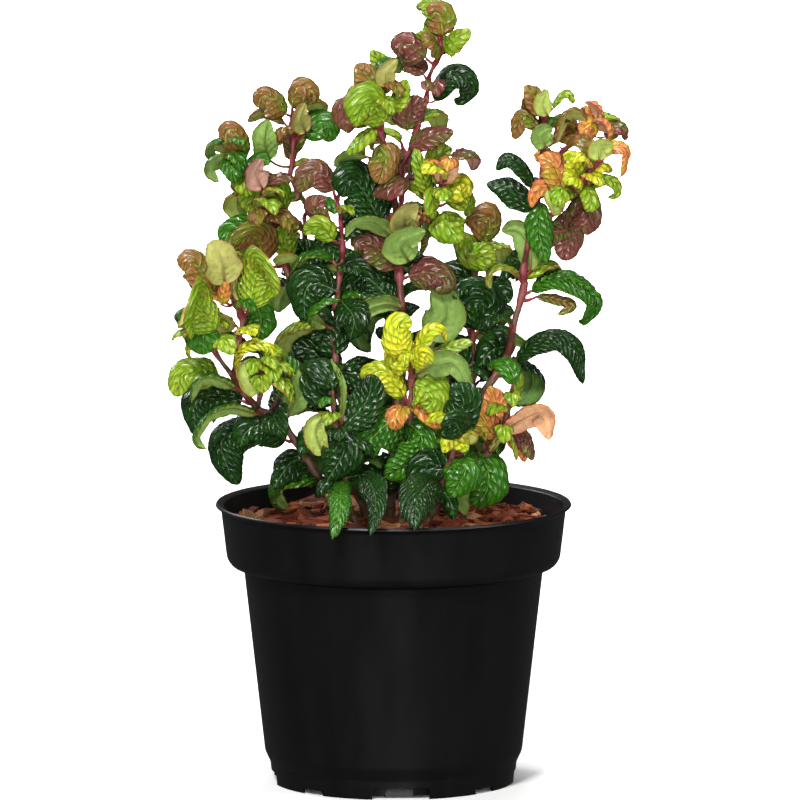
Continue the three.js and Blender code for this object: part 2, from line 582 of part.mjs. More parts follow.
// How many pairs of points lie nearer than a gap. A body has its points and a ball that they all lie in.
const bodyOf = (points) => {
  const middle = [0, 1, 2].map((j) => points.reduce((sum, p) => sum + p[j], 0) / points.length);
  const reach = Math.max(...points.map((p) => {
    const d = add(p, middle, -1);
    return Math.sqrt(dot(d, d));
  }));
  return { points, middle, reach };
};
function nearPairs(body, others, gap, enough) {
  let count = 0;
  for (const other of others) {
    const apart = add(body.middle, other.middle, -1);
    if (Math.sqrt(dot(apart, apart)) > body.reach + other.reach + gap) continue;
    for (const p of body.points)
      for (const q of other.points) {
        const d = add(p, q, -1);
        if (dot(d, d) < gap * gap) count++;
        if (count >= enough) return count;
      }
  }
  return count;
}

// A leaf of the rule, changed by one of the ways that it may be bent clear, and the same for a seen leaf.
function grownLeaf(base, change) {
  const leaf = { ...base, turn: base.turn + change.turn, lift: base.lift + change.lift,
    long: base.long * change.size, half: base.half * change.size };
  leaf.frames = grownFrames(leaf);
  return leaf;
}

function seenLeaf(base, change) {
  const [start] = base.marks;
  const marks = base.marks.map(([x, z, toward], i) => [
    mix(start[0], x, change.size), mix(start[1], z, change.size),
    toward + change.toward * (i === 0 ? 0.3 : Math.min(1, (2 * i) / (base.marks.length - 1)))]);
  const line = marks.map(([x, z, toward]) => {
    const y = base.point[1] - toward;
    return [x, y, z - viewSlope * y];
  });
  const leaf = { ...base, line, half: base.half * change.size };
  leaf.frames = seenFrames(leaf);
  leaf.long = lengthsAlong(line).at(-1);
  return leaf;
}

const grownChanges = [];
for (const size of [1, 0.84, 0.7])
  for (const lift of [0, 18, -18, 34])
    for (const turn of [0, 22, -22, 44, -44, 66, -66, 95, -95, 130, -130, 180])
      grownChanges.push({ turn, lift, size,
        cost: Math.abs(turn) / 22 + Math.abs(lift) / 9 + 30 * (1 - size) });
const seenChanges = [];
for (const size of [1, 0.88, 0.76, 0.64])
  for (const toward of [0, 4, -4, 8, -8, 12, -12, 17, -17, 23, -23])
    seenChanges.push({ toward, size, cost: Math.abs(toward) / 5 + 36 * (1 - size) });

// The leaves of every shoot: first those that are set out as seen, then those of the rule, low to high, each
// turned by the golden angle from the one below it, where there is room.
function growLeaves() {
  const lines = shoots.map((shoot) => shoot.axes.flatMap((axis) => divided(axis.points, 6)));
  const stems = lines.map(bodyOf);
  const leaves = shoots.map(() => []);
  const taken = shoots.map(() => []);
  const place = (own, base, changed, changes, most, least) => {
    const strangers = taken.filter((_, i) => i !== own).flat();
    const otherStems = stems.filter((_, i) => i !== own);
    let best = null;
    for (const change of changes) {
      const room = (best ? best.cost : most) - change.cost;
      if (room <= 0) continue;
      const leaf = changed(base, change);
      const body = bodyOf(bladePoints(leaf));
      if (body.middle[1] < least || !clearOfPot(body.points)) continue;
      if (nearPairs(body, otherStems, stemGap, 1) > 0) continue;
      if (nearPairs(body, strangers, leafGap, 1) > 0) continue;
      const crowd = nearPairs(body, taken[own], ownGap, room);
      if (crowd < room) best = { leaf, body, cost: crowd + change.cost };
    }
    if (best) {
      leaves[own].push(best.leaf);
      taken[own].push(best.body);
    }
  };
  shoots.forEach((shoot, own) => {
    const draw = draws(shoot.seed + 500);
    for (const [half, face, ...marks] of shoot.seen ?? []) {
      const [x, z] = marks[0];
      let point = null;
      let nearest = Infinity;
      for (const p of lines[own]) {
        const across = p[0] - x;
        const up = p[2] + viewSlope * p[1] - z + 2;
        const far = across * across + up * up * (up > 0 ? 3 : 1);
        if (far < nearest) {
          nearest = far;
          point = p;
        }
      }
      const leaf = { point, marks, face, fold: mix(12, 30, draw()), roll: mix(55, 95, draw()) };
      leaf.half = half / marginOffset(leaf)[0];
      place(own, leaf, seenLeaf, seenChanges, 80, -Infinity);
    }
  });
  shoots.forEach((shoot, own) => {
    const draw = draws(shoot.seed);
    for (const axis of shoot.axes) {
      const line = axis.points;
      const along = lengthsAlong(line);
      const full = along.at(-1);
      const first = full * axis.start;
      const count = Math.floor((full - first) / axis.gap) + 1;
      for (let i = 0; i < count; i++) {
        const share = count > 1 ? i / (count - 1) : 1;
        const at = mix(first, full - 1.5, share);
        const { point, direction } = placeOn(line, along, at);
        const long = mix(axis.long[0], axis.long[1], share) * (0.88 + 0.24 * draw());
        place(own, {
          point,
          direction,
          long,
          half: long * (0.25 + 0.06 * draw()),
          stalk: mix(axis.radius[0], axis.radius[1], at / full) + petiole * (0.8 + 0.4 * draw()),
          turn: axis.turn + goldenTurn * i + 24 * (draw() - 0.5),
          lift: mix(42, 68, share) + 20 * (draw() - 0.5),
          curl: mix(130, 230, draw()),
          hook: mix(0.5, 1.4, draw()),
          bend: 60 * (draw() - 0.5),
          twist: 80 * (draw() - 0.5),
          fold: mix(10, 30, draw()),
          roll: mix(55, 95, draw()),
        }, grownLeaf, grownChanges, 26, shoot.seen ? point[1] + 3 : -Infinity);
      }
    }
  });
  return leaves;
}

// A closed body from a drum whose ends are points: shape gives a vertex's place from its turn and its row.
function bodyFromDrum(sides, rows, shape) {
  const drum = new THREE.CylinderGeometry(0, 0, 1, sides, rows);
  const uv = drum.attributes.uv;
  const position = drum.attributes.position;
  for (let i = 0; i < position.count; i++) {
    const row = Math.round(uv.getY(i) * rows);
    const side = Math.round(uv.getX(i) * sides) % sides;
    position.setXYZ(i, ...shape(side, row));
  }
  return drum;
}

function solidOf(geometry) {
  const bare = geometry.clone();
  bare.deleteAttribute("normal");
  bare.deleteAttribute("uv");
  const merged = mergeVertices(bare, 1e-4);
  return new wasm.Manifold(new wasm.Mesh({ numProp: 3, vertProperties: merged.attributes.position.array,
    triVerts: new Uint32Array(merged.index.array) }));
}

function geometryOf(solid) {
  const mesh = solid.getMesh();
  const geometry = new THREE.BufferGeometry();
  geometry.setAttribute("position", new THREE.BufferAttribute(new Float32Array(mesh.vertProperties), 3));
  geometry.setIndex(new THREE.BufferAttribute(new Uint32Array(mesh.triVerts), 1));
  geometry.computeVertexNormals();
  return geometry;
}

// A stem of round section that tapers from its first radius to its last.
function stemBody(axis, extra = 0, sides = 5) {
  const line = axis.points;
  const along = lengthsAlong(line);
  const tip = unit(add(line.at(-1), line.at(-2), -1));
  return bodyFromDrum(sides, line.length + 1, (side, row) => {
    if (row === 0) return add(line[0], [0, 0, -1], extra > 0 ? 1 : 0.5);
    if (row === line.length + 1) return add(line.at(-1), tip, 0.8);
    const i = row - 1;
    const before = line[Math.max(0, i - 1)];
    const after = line[Math.min(line.length - 1, i + 1)];
    const ahead = unit(add(after, before, -1));
    const across = unit(add([1, 0, 0], ahead, -ahead[0]));
    const aside = cross(ahead, across);
    const radius = mix(axis.radius[0], axis.radius[1], along[i] / along.at(-1)) + extra;
    const a = (2 * Math.PI * side) / sides;
    return add(add(line[i], across, radius * Math.sin(a)), aside, -radius * Math.cos(a));
  });
}

// The rows of a blade: few on a small leaf and more on one that curls right round.
const rowsOf = (leaf) => {
  if (leaf.line && leaf.line.length > 4) return curledRows;
  return leaf.long < smallLeaf ? smallRows : bladeRows;
};

// A leaf: a stalk from inside the stem, then a blade with a thick midrib and thin margins, down to its tip.
function leafBody(leaf) {
  const [aside, above] = marginOffset(leaf);
  const rows = [0, ...rowsOf(leaf), ribSteps];
  return bodyFromDrum(4, rows.length, (side, row) => {
    if (row === 0) return leaf.point;
    const k = rows[row - 1];
    const f = leaf.frames[k];
    if (k === ribSteps) return f.place;
    if (k === 0) {
      const ahead = unit(add(unit(add(f.place, leaf.point, -1)), f.forward));
      const level = unit(add(f.side, ahead, -dot(f.side, ahead)));
      const a = (Math.PI * side) / 2;
      const raised = add(f.place, cross(ahead, level), stalkHalf * Math.cos(a));
      return add(raised, level, -stalkHalf * Math.sin(a));
    }
    const half = leaf.half * outline(k / ribSteps);
    const thick = midribHalf * (1 - (0.35 * k) / ribSteps);
    if (side === 0) return add(f.place, f.normal, thick);
    if (side === 2) return add(f.place, f.normal, -thick);
    const way = side === 1 ? -1 : 1;
    const raised = add(f.place, f.normal, half * above);
    return add(raised, f.side, way * half * aside);
  });
}

const matte = (color, roughness) => new THREE.MeshStandardMaterial({ color, roughness, metalness: 0 });
const materials = {
  pot: matte(0x161617, 0.45),
  soil: matte(0x3a2a20, 0.95),
  mulch: matte(0x8a4527, 0.9),
  leaf: matte(0x4f8420, 0.4),
};

const plant = new THREE.Group();
function addNode(name, solid, material) {
  const mesh = new THREE.Mesh(geometryOf(solid), material);
  mesh.name = name;
  plant.add(mesh);
}

// A turned solid from its half outline, given as [radius, height] pairs that start and end on the axis
// or close on themselves, and set upright.
function turned(outlinePoints, sides) {
  const profile = outlinePoints.map(([r, z]) => new THREE.Vector2(r, z));
  const lathe = new THREE.LatheGeometry(profile, sides);
  lathe.rotateX(Math.PI / 2);
  return solidOf(lathe);
}

function boxAt(sizeX, sizeY, sizeZ, x, y, z, turnDegrees) {
  const box = new THREE.BoxGeometry(sizeX, sizeY, sizeZ);
  box.translate(x, y, z);
  box.rotateZ(rad(turnDegrees));
  return solidOf(box);
}

// The nursery pot: a tapered body under a wide band with a lip, on a notched foot ring and an inner ring.
function pot() {
  const lip = 1.6;
  const outline = [
    [0, floorClear], [ringRadius - wall, floorClear], [ringRadius - wall, 0], [ringRadius, 0],
    [ringRadius, floorClear], [footLowRadius - wall, floorClear], [footLowRadius - wall, 0],
    [footLowRadius, 0], [footTopRadius, footTopHeight], [bodyLowRadius, stepHeight],
    [bodyTopRadius, shoulderHeight], [bandLowRadius - 2.4, shoulderHeight + 1.8],
    [bandLowRadius, bandLowHeight], [bandTopRadius, potHeight - 3.4],
    [rimRadius, potHeight - lip], [rimRadius - 0.9, potHeight], [bandTopRadius - wall, potHeight - 1.6],
    [bandLowRadius - wall, bandLowHeight + 0.6], [bodyTopRadius - wall, shoulderHeight + 2.6],
    [bodyLowRadius - wall, stepHeight], [footTopRadius - wall, floorClear + wall],
    [0, floorClear + wall],
  ];
  let solid = turned(outline, potSides);
  for (let i = 0; i < 8; i++) {
    const around = 45 * i + potTurn;
    if (i % 2 === 0) {
      const middle = (floorClear - 2) / 2 - 0.05;
      const drain = -(ringRadius + footLowRadius - wall) / 2;
      solid = solid.subtract(boxAt(30.4, 8, floorClear + 2, 0, -footLowRadius + 1, middle, around));
      solid = solid.subtract(boxAt(15, 8, floorClear + 2, 0, -ringRadius + 1, middle, around));
      solid = solid.subtract(boxAt(16, 5.2, wall + 2, 0, drain, floorClear + wall / 2, around));
    } else {
      solid = solid.subtract(boxAt(14, 8, 4.8, 0, -footLowRadius + 2, 0.4, around));
    }
  }
  return solid;
}

// The potting soil fills the pot from its floor to under the mulch, with a hole for each stem.
function soil(holes) {
  const gap = wall + seat;
  const outline = [
    [0, floorClear + gap], [footTopRadius - gap, floorClear + gap], [bodyLowRadius - gap, stepHeight + 0.2],
    [bodyTopRadius - gap, shoulderHeight + 2.7], [bandLowRadius - gap - 0.2, bandLowHeight + 1],
    [mix(bandLowRadius, bandTopRadius, 0.45) - gap - 0.2, soilTop], [0, soilTop],
  ];
  return turned(outline, potSides).subtract(holes);
}

// Bark mulch: a bed of chips, lying every way, that covers the soil and is fused into one layer.
function mulch(holes) {
  const draw = draws(5);
  const bedTop = soilTop + 2.6;
  const reach = mix(bandLowRadius, bandTopRadius, 0.45) - wall - 0.9;
  const bed = [[0, soilTop + seat], [reach, soilTop + seat], [reach, bedTop], [0, bedTop]];
  const parts = [turned(bed, potSides)];
  for (let i = 0; i < chipCount; i++) {
    const out = chipReach * Math.sqrt((i + 0.5) / chipCount);
    const around = goldenTurn * i + 20 * (draw() - 0.5);
    const long = mix(24, 38, draw());
    const wide = mix(12, 20, draw());
    const thick = mix(3.5, 5.5, draw());
    const chip = new THREE.BoxGeometry(long, wide, thick);
    const corner = chip.attributes.position;
    const skew = [draw() - 0.5, draw() - 0.5, draw() - 0.5];
    for (let k = 0; k < corner.count; k++) {
      const [x, y, z] = [corner.getX(k), corner.getY(k), corner.getZ(k)];
      corner.setXYZ(k, x + skew[0] * y, y * (1 + (skew[1] * 1.4 * x) / long),
        z * (1 + (skew[2] * 1.4 * x) / long));
    }
    const limit = reach - 1;
    const edge = out > limit - long / 2;
    chip.rotateX(rad(50 * (draw() - 0.5)));
    chip.rotateY(rad(36 * (draw() - 0.5)));
    chip.rotateZ(rad(edge ? around + 90 + 16 * (draw() - 0.5) : 360 * draw()));
    const place = Math.min(out, edge ? limit - wide * 0.75 - 1.5 : out);
    const a = rad(around);
    chip.translate(place * Math.cos(a), place * Math.sin(a), mix(bedTop - 0.6, mulchTop - 1.6, draw()));
    parts.push(solidOf(chip));
  }
  const inside = turned([[0, soilTop + seat], [reach, soilTop + seat], [reach + 0.9, potHeight - 2],
    [0, potHeight - 2]], potSides);
  return wasm.Manifold.union(parts).intersect(inside).subtract(holes);
}

// The largest body of a solid: a scrap that a cut leaves loose is dropped.
const largest = (solid) => solid.decompose().sort((a, b) => b.volume() - a.volume())[0];

const leaves = growLeaves();
const shootSolids = shoots.map((shoot, i) => largest(wasm.Manifold.union([
  ...shoot.axes.map((axis) => solidOf(stemBody(axis))),
  ...leaves[i].map((leaf) => solidOf(leafBody(leaf))),
])));
const holes = wasm.Manifold.union(shoots.map((shoot) => solidOf(stemBody(shoot.axes[0], seat + 0.4))));

addNode("pot", pot(), materials.pot);
addNode("soil", soil(holes), materials.soil);
addNode("bark_mulch", largest(mulch(holes)), materials.mulch);
shoots.forEach((shoot, i) => addNode(shoot.node, shootSolids[i], materials.leaf));

export default plant;
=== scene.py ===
import math

import bmesh
import bpy
import numpy as np
from mathutils import Matrix, Vector


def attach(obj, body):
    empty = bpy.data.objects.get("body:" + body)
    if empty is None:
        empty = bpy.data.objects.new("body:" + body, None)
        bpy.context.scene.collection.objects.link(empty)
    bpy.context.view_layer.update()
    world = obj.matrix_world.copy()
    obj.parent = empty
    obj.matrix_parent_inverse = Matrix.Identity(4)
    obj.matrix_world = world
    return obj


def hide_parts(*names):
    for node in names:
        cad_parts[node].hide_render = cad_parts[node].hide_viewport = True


# A shrub with curled, puckered leaves in a black nursery pot, on a pale studio floor.
# Lengths in the dictionaries and the layout are in millimetres; meshes are stored in metres.

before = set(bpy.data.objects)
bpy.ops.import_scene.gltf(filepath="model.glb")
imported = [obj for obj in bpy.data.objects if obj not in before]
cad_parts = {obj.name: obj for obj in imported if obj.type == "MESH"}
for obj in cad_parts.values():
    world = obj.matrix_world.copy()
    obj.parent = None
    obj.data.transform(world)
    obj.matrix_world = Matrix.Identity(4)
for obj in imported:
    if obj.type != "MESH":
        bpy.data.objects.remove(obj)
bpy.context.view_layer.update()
mm = 0.001


def linear(hexColour):
    # An sRGB hex colour as linear red, green, blue and alpha.
    parts = [int(hexColour[i:i + 2], 16) / 255 for i in (1, 3, 5)]
    return tuple(c / 12.92 if c <= 0.04045 else ((c + 0.055) / 1.055) ** 2.4 for c in parts) + (1.0,)


def addNode(tree, kind, inputs=None, stops=None, **settings):
    # Adds a shader node with its settings and returns its outputs. Each input is a value or another node's
    # output, and stops fill a ramp.
    node = tree.nodes.new("ShaderNode" + kind)
    for name, value in settings.items():
        setattr(node, name, value)
    for socket, value in (inputs or {}).items():
        if hasattr(value, "is_output"):
            tree.links.new(value, node.inputs[socket])
        else:
            node.inputs[socket].default_value = value
    for i, (position, colour) in enumerate(stops or []):
        element = node.color_ramp.elements[i] if i < 2 else node.color_ramp.elements.new(position)
        element.position, element.color = position, linear(colour)
    return node.outputs


def newMaterial(name):
    # A material with its empty node tree.
    material = bpy.data.materials.new(name)
    material.use_nodes = True
    material.node_tree.nodes.clear()
    return material, material.node_tree


def newMesh(name, bm):
    # A mesh with what a bmesh holds, which is freed.
    mesh = bpy.data.meshes.new(name)
    bm.to_mesh(mesh)
    bm.free()
    return mesh


def newTemplate(name, bm):
    # A mesh to copy from, and its places.
    mesh = newMesh(name, bm)
    co = np.empty(len(mesh.vertices) * 3)
    mesh.vertices.foreach_get("co", co)
    return mesh, co.reshape(-1, 3)


def newObject(name, data):
    # An object in the scene for a mesh, a lamp or a camera.
    made = bpy.data.objects.new(name, data)
    bpy.context.scene.collection.objects.link(made)
    return made


# Each shoot's stem axes, and its leaves: picks are the tone and the change of each leaf that grows by rule,
# with -1 for none; seen rows are half width, face, tone, change, then marks (across, height, forward).
shoots = [
    {"node": "centre_shoot", "seed": 11, "axes": [
        {"points": [(-2, 5, 96), (-2, 4, 140), (1, 2, 200), (4, 0, 248), (3, -2, 275), (1, -3, 307),
            (2, -3, 327), (9, -2, 339), (17, 0, 364), (19, 0, 378), (25, 0, 391), (24, 0, 402)],
         "radius": (3.2, 1.1), "start": 0.3, "gap": 44, "long": (46, 27), "turn": 20},
        {"points": [(2, -3, 327), (-3, -8, 339), (-8, -12, 352), (-9, -14, 366), (-8, -14, 376)],
         "radius": (1.7, 1), "start": 0.25, "gap": 26, "long": (32, 25), "turn": 190},
        {"points": [(4, -2, 279), (14, -6, 300), (21, -8, 312), (27, -10, 323), (30, -10, 331)],
         "radius": (1.8, 1), "start": 0.25, "gap": 26, "long": (34, 24), "turn": 300},
    ], "picks": "D24 D0 G7 L0 L44 B6 G41 B35 M2",
     "seen": [
        (8.2, -5, "B", 0, (26, 400, 2), (25, 409, 3), (22, 412, 4), (20, 409, 4)),
        (8.8, -25, "L", 6, (25, 395, 3), (20, 407, 6), (17, 404, 7), (17, 398, 6)),
        (7.4, 51, "L", 3, (26, 394, 2), (34, 399, 4), (41, 402, 4)),
        (7.4, -53, "B", 5, (24, 393, 3), (19, 396, 8), (15, 394, 7)),
        (8.8, -25, "M", 0, (17, 388, 1), (9, 394, 2), (4, 394, 2), (3, 388, 2)),
        (9.8, 53, "D", 0, (22, 365, -1), (26, 374, -2), (32, 379, -3), (39, 377, -3), (41, 371, -3),
            (36, 365, -3), (32, 366, -3)),
        (9, -51, "M", 4, (16, 379, 1), (8, 386, 3), (1, 387, 3)),
        (8.2, -30, "B", 0, (-6, 366, 1), (-12, 375, 2), (-20, 384, 2)),
        (6.8, -15, "L", 4, (-6, 368, -2), (-6, 382, -4), (-12, 392, -4)),
        (5.3, 170, "B", 1, (-3, 372, 3), (-4, 379, 7), (2, 386, 6)),
        (5.4, 30, "L", 1, (-1, 359, -2), (4, 368, -4), (7, 376, -4)),
        (10.6, -46, "M", 0, (-12, 352, -1), (-22, 360, -3), (-25, 358, -3), (-24, 347, -3)),
        (10.9, -20, "L", 5, (-5, 352, 2), (-10, 361, 4), (-16, 360, 5), (-20, 350, 4)),
        (5.7, -53, "L", 0, (-10, 350, 3), (-17, 344, 8), (-25, 336, 7)),
        (8.8, 20, "B", 0, (-8, 341, 2), (-4, 334, 4), (-8, 320, 4)),
        (4.9, -110, "G", 0, (-14, 335, -1), (-24, 336, -3), (-30, 332, -3), (-27, 330, -3)),
        (8.2, -20, "M", 0, (7, 349, 1), (9, 359, 3), (18, 365, 3)),
        (6.8, 35, "M", 0, (8, 341, 3), (20, 346, 7), (32, 348, 6)),
        (12.2, -15, "D", 3, (-7, 300, -1), (-17, 318, -3), (-24, 322, -3), (-27, 313, -3)),
        (9, -54, "M", 1, (6, 323, 2), (1, 322, 4), (-11, 314, 4)),
        (9.5, -10, "D", 0, (-3, 304, -2), (-16, 308, -6), (-28, 298, -6)),
        (6.5, -130, "G", 3, (0, 292, 2), (-10, 299, 4), (-20, 299, 5), (-25, 292, 4)),
        (9.5, -30, "M", 0, (2, 276, 2), (-7, 285, 3), (-17, 289, 4), (-18, 284, 4)),
        (7.9, 172, "B", 1, (8, 295, 3), (5, 303, 8), (13, 310, 7)),
        (9.3, 175, "G", 1, (8, 279, 4), (4, 289, 9), (17, 295, 8)),
        (4.8, -30, "L", 1, (19, 314, 1), (15, 327, 3), (11, 339, 3)),
        (7.5, 20, "L", 2, (22, 320, -1), (24, 335, -3), (31, 340, -3)),
        (6, 160, "O", 0, (24, 321, 2), (29, 328, 4), (34, 334, 4)),
        (9, 46, "Y", 2, (25, 313, 2), (33, 321, 3), (39, 320, 4), (38, 313, 4)),
        (8.2, 49, "L", 2, (28, 310, -1), (38, 315, -2), (42, 310, -2), (38, 303, -2)),
        (6.8, -20, "L", 3, (24, 308, 2), (21, 310, 4), (22, 301, 4)),
        (9.5, 5, "L", 0, (28, 306, 2), (30, 297, 6), (36, 289, 6)),
        (8.8, 15, "M", 0, (8, 271, 2), (19, 273, 5), (27, 268, 6), (21, 264, 6)),
        (12.2, -15, "D", 2, (-1, 258, 1), (-14, 270, 3), (-22, 266, 3), (-24, 252, 3)),
        (5.3, -142, "G", 0, (4, 254, 4), (-4, 257, 8), (-17, 252, 10), (-25, 240, 8)),
        (9.9, 177, "G", 2, (19, 237, 3), (28, 252, 7), (23, 268, 6)),
    ]},
    {"node": "left_shoot", "seed": 23, "axes": [
        {"points": [(-14, 4, 96), (-15, 5, 140), (-24, 10, 190), (-36, 15, 223), (-46, 19, 239),
            (-55, 23, 265), (-60, 26, 282), (-62, 28, 293), (-58, 30, 311), (-54, 32, 329),
                (-54, 34, 353)],
         "radius": (3.1, 1.1), "start": 0.3, "gap": 44, "long": (44, 30), "turn": 100},
        {"points": [(-62, 28, 293), (-71, 27, 308), (-83, 25, 324), (-88, 24, 337)],
         "radius": (1.6, 1), "start": 0.35, "gap": 26, "long": (28, 22), "turn": 150},
        {"points": [(-60, 26, 282), (-67, 17, 289), (-71, 11, 302), (-69, 9, 314)],
         "radius": (1.6, 1), "start": 0.35, "gap": 26, "long": (36, 28), "turn": 250},
    ], "picks": "D3 G8 D33 L0 L33 L0 G34 B8 M0",
     "seen": [
        (9.8, -47, "B", 0, (-57, 359, 2), (-65, 367, 4), (-70, 368, 5), (-72, 362, 4)),
        (6.5, -100, "B", 6, (-58, 354, 2), (-69, 360, 6), (-78, 355, 6)),
        (8.2, 49, "B", 0, (-54, 363, 1), (-52, 372, 2), (-47, 373, 2), (-43, 369, 2), (-45, 364, 2)),
        (5.3, 165, "B", 1, (-47, 349, 3), (-50, 357, 8), (-47, 365, 7)),
        (10.2, 35, "G", 0, (-48, 347, -1), (-40, 354, -3), (-35, 353, -3), (-34, 344, -3)),
        (6.6, 178, "G", 1, (-66, 334, 3), (-69, 345, 7), (-67, 356, 6)),
        (10.2, 25, "B", 10, (-52, 338, -2), (-54, 350, -3), (-56, 351, -4), (-56, 340, -4),
            (-56, 335, -4)),
        (7.5, -35, "B", 0, (-78, 336, 2), (-84, 348, 3), (-88, 350, 4), (-90, 344, 4)),
        (5.7, -110, "L", 6, (-82, 339, 2), (-88, 343, 4), (-96, 340, 4)),
        (6.8, -30, "L", 4, (-77, 328, -2), (-84, 332, -3), (-91, 335, -4), (-90, 331, -4)),
        (6, -140, "G", 1, (-78, 319, 1), (-84, 331, 2), (-92, 334, 3), (-98, 328, 3), (-93, 322, 3)),
        (6.6, 160, "M", 0, (-70, 318, 2), (-74, 327, 6), (-70, 334, 6)),
        (11.5, -15, "L", 1, (-59, 305, 2), (-65, 315, 4), (-72, 316, 5), (-77, 305, 4)),
        (5.7, -125, "L", 6, (-60, 309, 3), (-70, 304, 8), (-80, 299, 7)),
        (9.5, -25, "G", 3, (-68, 289, -2), (-79, 295, -4), (-87, 295, -5), (-91, 288, -4)),
        (10.2, -5, "B", 5, (-69, 279, 2), (-72, 290, 5), (-77, 293, 6), (-84, 286, 6)),
        (9.5, 10, "D", 0, (-52, 264, -2), (-46, 279, -6), (-51, 292, -6)),
        (7.4, 120, "L", 0, (-63, 278, 2), (-55, 280, 6), (-48, 278, 6)),
        (6.1, 0, "L", 0, (-54, 282, 2), (-58, 292, 4), (-51, 300, 4)),
        (9.5, -20, "D", 2, (-62, 285, -2), (-70, 294, -4), (-80, 290, -4)),
    ]},
    {"node": "left_low_shoot", "seed": 37, "axes": [
        {"points": [(-17, -8, 96), (-20, -9, 140), (-41, -20, 168), (-51, -28, 185), (-60, -34, 198),
            (-72, -38, 206), (-83, -42, 221), (-82, -44, 241), (-80, -45, 255), (-88, -46, 269),
                (-96, -48, 276)],
         "radius": (3, 1), "start": 0.32, "gap": 40, "long": (46, 26), "turn": 200},
        {"points": [(-83, -42, 221), (-93, -47, 235), (-100, -50, 248)],
         "radius": (1.5, 1), "start": 0.4, "gap": 26, "long": (32, 26), "turn": 210},
        {"points": [(-72, -38, 206), (-70, -47, 216), (-69, -52, 230)],
         "radius": (1.5, 1), "start": 0.4, "gap": 26, "long": (28, 22), "turn": 10},
    ], "picks": "G14 D7 D32 L33 G8 L27",
     "seen": [
        (9.3, 165, "B", 0, (-89, 266, 3), (-91, 279, 7), (-96, 289, 6)),
        (9.5, -35, "B", 0, (-94, 263, 1), (-103, 274, 2), (-108, 278, 2), (-110, 272, 2)),
        (4.1, -20, "O", 4, (-90, 257, 2), (-96, 264, 4), (-99, 257, 4)),
        (3.3, 20, "O", 3, (-91, 255, 2), (-88, 267, 6)),
        (7.4, 120, "B", 4, (-80, 250, 2), (-83, 264, 4), (-85, 279, 4)),
        (11.5, 20, "L", 9, (-76, 253, -2), (-72, 272, -4), (-67, 273, -4), (-64, 263, -5),
            (-69, 258, -4)),
        (12.9, -20, "L", 9, (-93, 242, 2), (-104, 254, 3), (-106, 254, 4), (-107, 246, 4),
            (-106, 236, 4)),
        (7.4, -130, "L", 4, (-83, 244, 3), (-95, 246, 8), (-111, 237, 8)),
        (9.5, -5, "G", 1, (-97, 244, 2), (-100, 238, 6), (-100, 228, 6)),
        (8.2, 5, "G", 0, (-73, 256, -2), (-70, 248, -4), (-72, 235, -4)),
        (8.2, 10, "D", 2, (-84, 240, -2), (-86, 236, -6), (-82, 229, -6)),
        (4.1, 62, "Y", 1, (-84, 220, 2), (-80, 231, 4), (-72, 234, 4), (-65, 231, 5), (-68, 222, 4)),
        (7.3, 176, "L", 0, (-70, 209, 3), (-76, 217, 7), (-77, 226, 6)),
        (7.5, 5, "G", 0, (-61, 207, -2), (-55, 218, -4), (-58, 228, -4)),
        (6, 172, "G", 0, (-56, 196, 2), (-50, 209, 6), (-48, 222, 6)),
        (9.5, -30, "L", 0, (-93, 215, -1), (-104, 219, -2), (-112, 217, -2), (-115, 206, -2)),
        (4.9, -120, "G", 1, (-84, 211, 3), (-95, 216, 6), (-103, 214, 7), (-107, 203, 6)),
        (11.5, -30, "D", 0, (-80, 204, -1), (-95, 207, -3), (-105, 202, -3), (-104, 184, -3)),
        (4.9, -115, "G", 3, (-72, 197, 3), (-86, 200, 5), (-98, 195, 7), (-104, 184, 7), (-99, 178, 6)),
        (10.2, -30, "D", 0, (-67, 189, 1), (-81, 188, 1), (-91, 182, 2), (-88, 169, 2), (-82, 159, 1)),
        (10.2, -25, "D", 1, (-57, 183, 3), (-68, 191, 7), (-78, 187, 8), (-81, 179, 7)),
        (8.2, -20, "D", 0, (-45, 171, 1), (-54, 171, 3), (-64, 157, 3)),
    ]},
    {"node": "right_shoot", "seed": 41, "axes": [
        {"points": [(20, -1, 96), (21, -2, 140), (32, -5, 182), (46, -9, 207), (55, -8, 220),
            (61, -12, 232), (64, -15, 248), (69, -18, 267), (69, -20, 278), (74, -24, 305),
                (78, -27, 327), (79, -29, 344), (80, -31, 364)],
         "radius": (3.2, 1.1), "start": 0.3, "gap": 44, "long": (44, 24), "turn": 60},
        {"points": [(73, -23, 297), (85, -29, 309), (91, -33, 318), (98, -37, 324), (104, -40, 333)],
         "radius": (1.6, 1), "start": 0.45, "gap": 26, "long": (30, 24), "turn": 330},
        {"points": [(78, -27, 327), (90, -23, 341), (101, -18, 349), (109, -14, 354)],
         "radius": (1.5, 1), "start": 0.45, "gap": 26, "long": (28, 24), "turn": 20},
    ], "picks": "G2 D35 L17 M2 B10 L7 B1 L3",
     "seen": [
        (5.4, -20, "B", 0, (78, 356, 1), (74, 366, 3), (69, 372, 3)),
        (4.6, 172, "L", 0, (81, 356, 2), (78, 363, 5), (81, 370, 5)),
        (3.3, 62, "L", 0, (84, 360, 1), (89, 367, 1), (93, 367, 2), (95, 362, 1)),
        (6.5, -56, "B", 0, (77, 349, 1), (70, 356, 2), (66, 354, 2), (64, 343, 2)),
        (6, 172, "G", 0, (80, 339, 3), (78, 346, 7), (84, 350, 6)),
        (6.5, 105, "B", 4, (84, 341, 1), (90, 355, 1), (96, 358, 2), (102, 353, 1)),
        (8.2, 51, "B", 4, (86, 344, -1), (96, 347, -2), (100, 342, -2), (102, 336, -2)),
        (6.5, -46, "O", 0, (107, 345, 2), (104, 351, 4), (98, 347, 4)),
        (5.7, 53, "M", 2, (112, 345, 1), (117, 350, 1), (122, 349, 2), (123, 343, 1)),
        (6.6, 155, "L", 0, (108, 332, 2), (109, 339, 4), (116, 340, 4)),
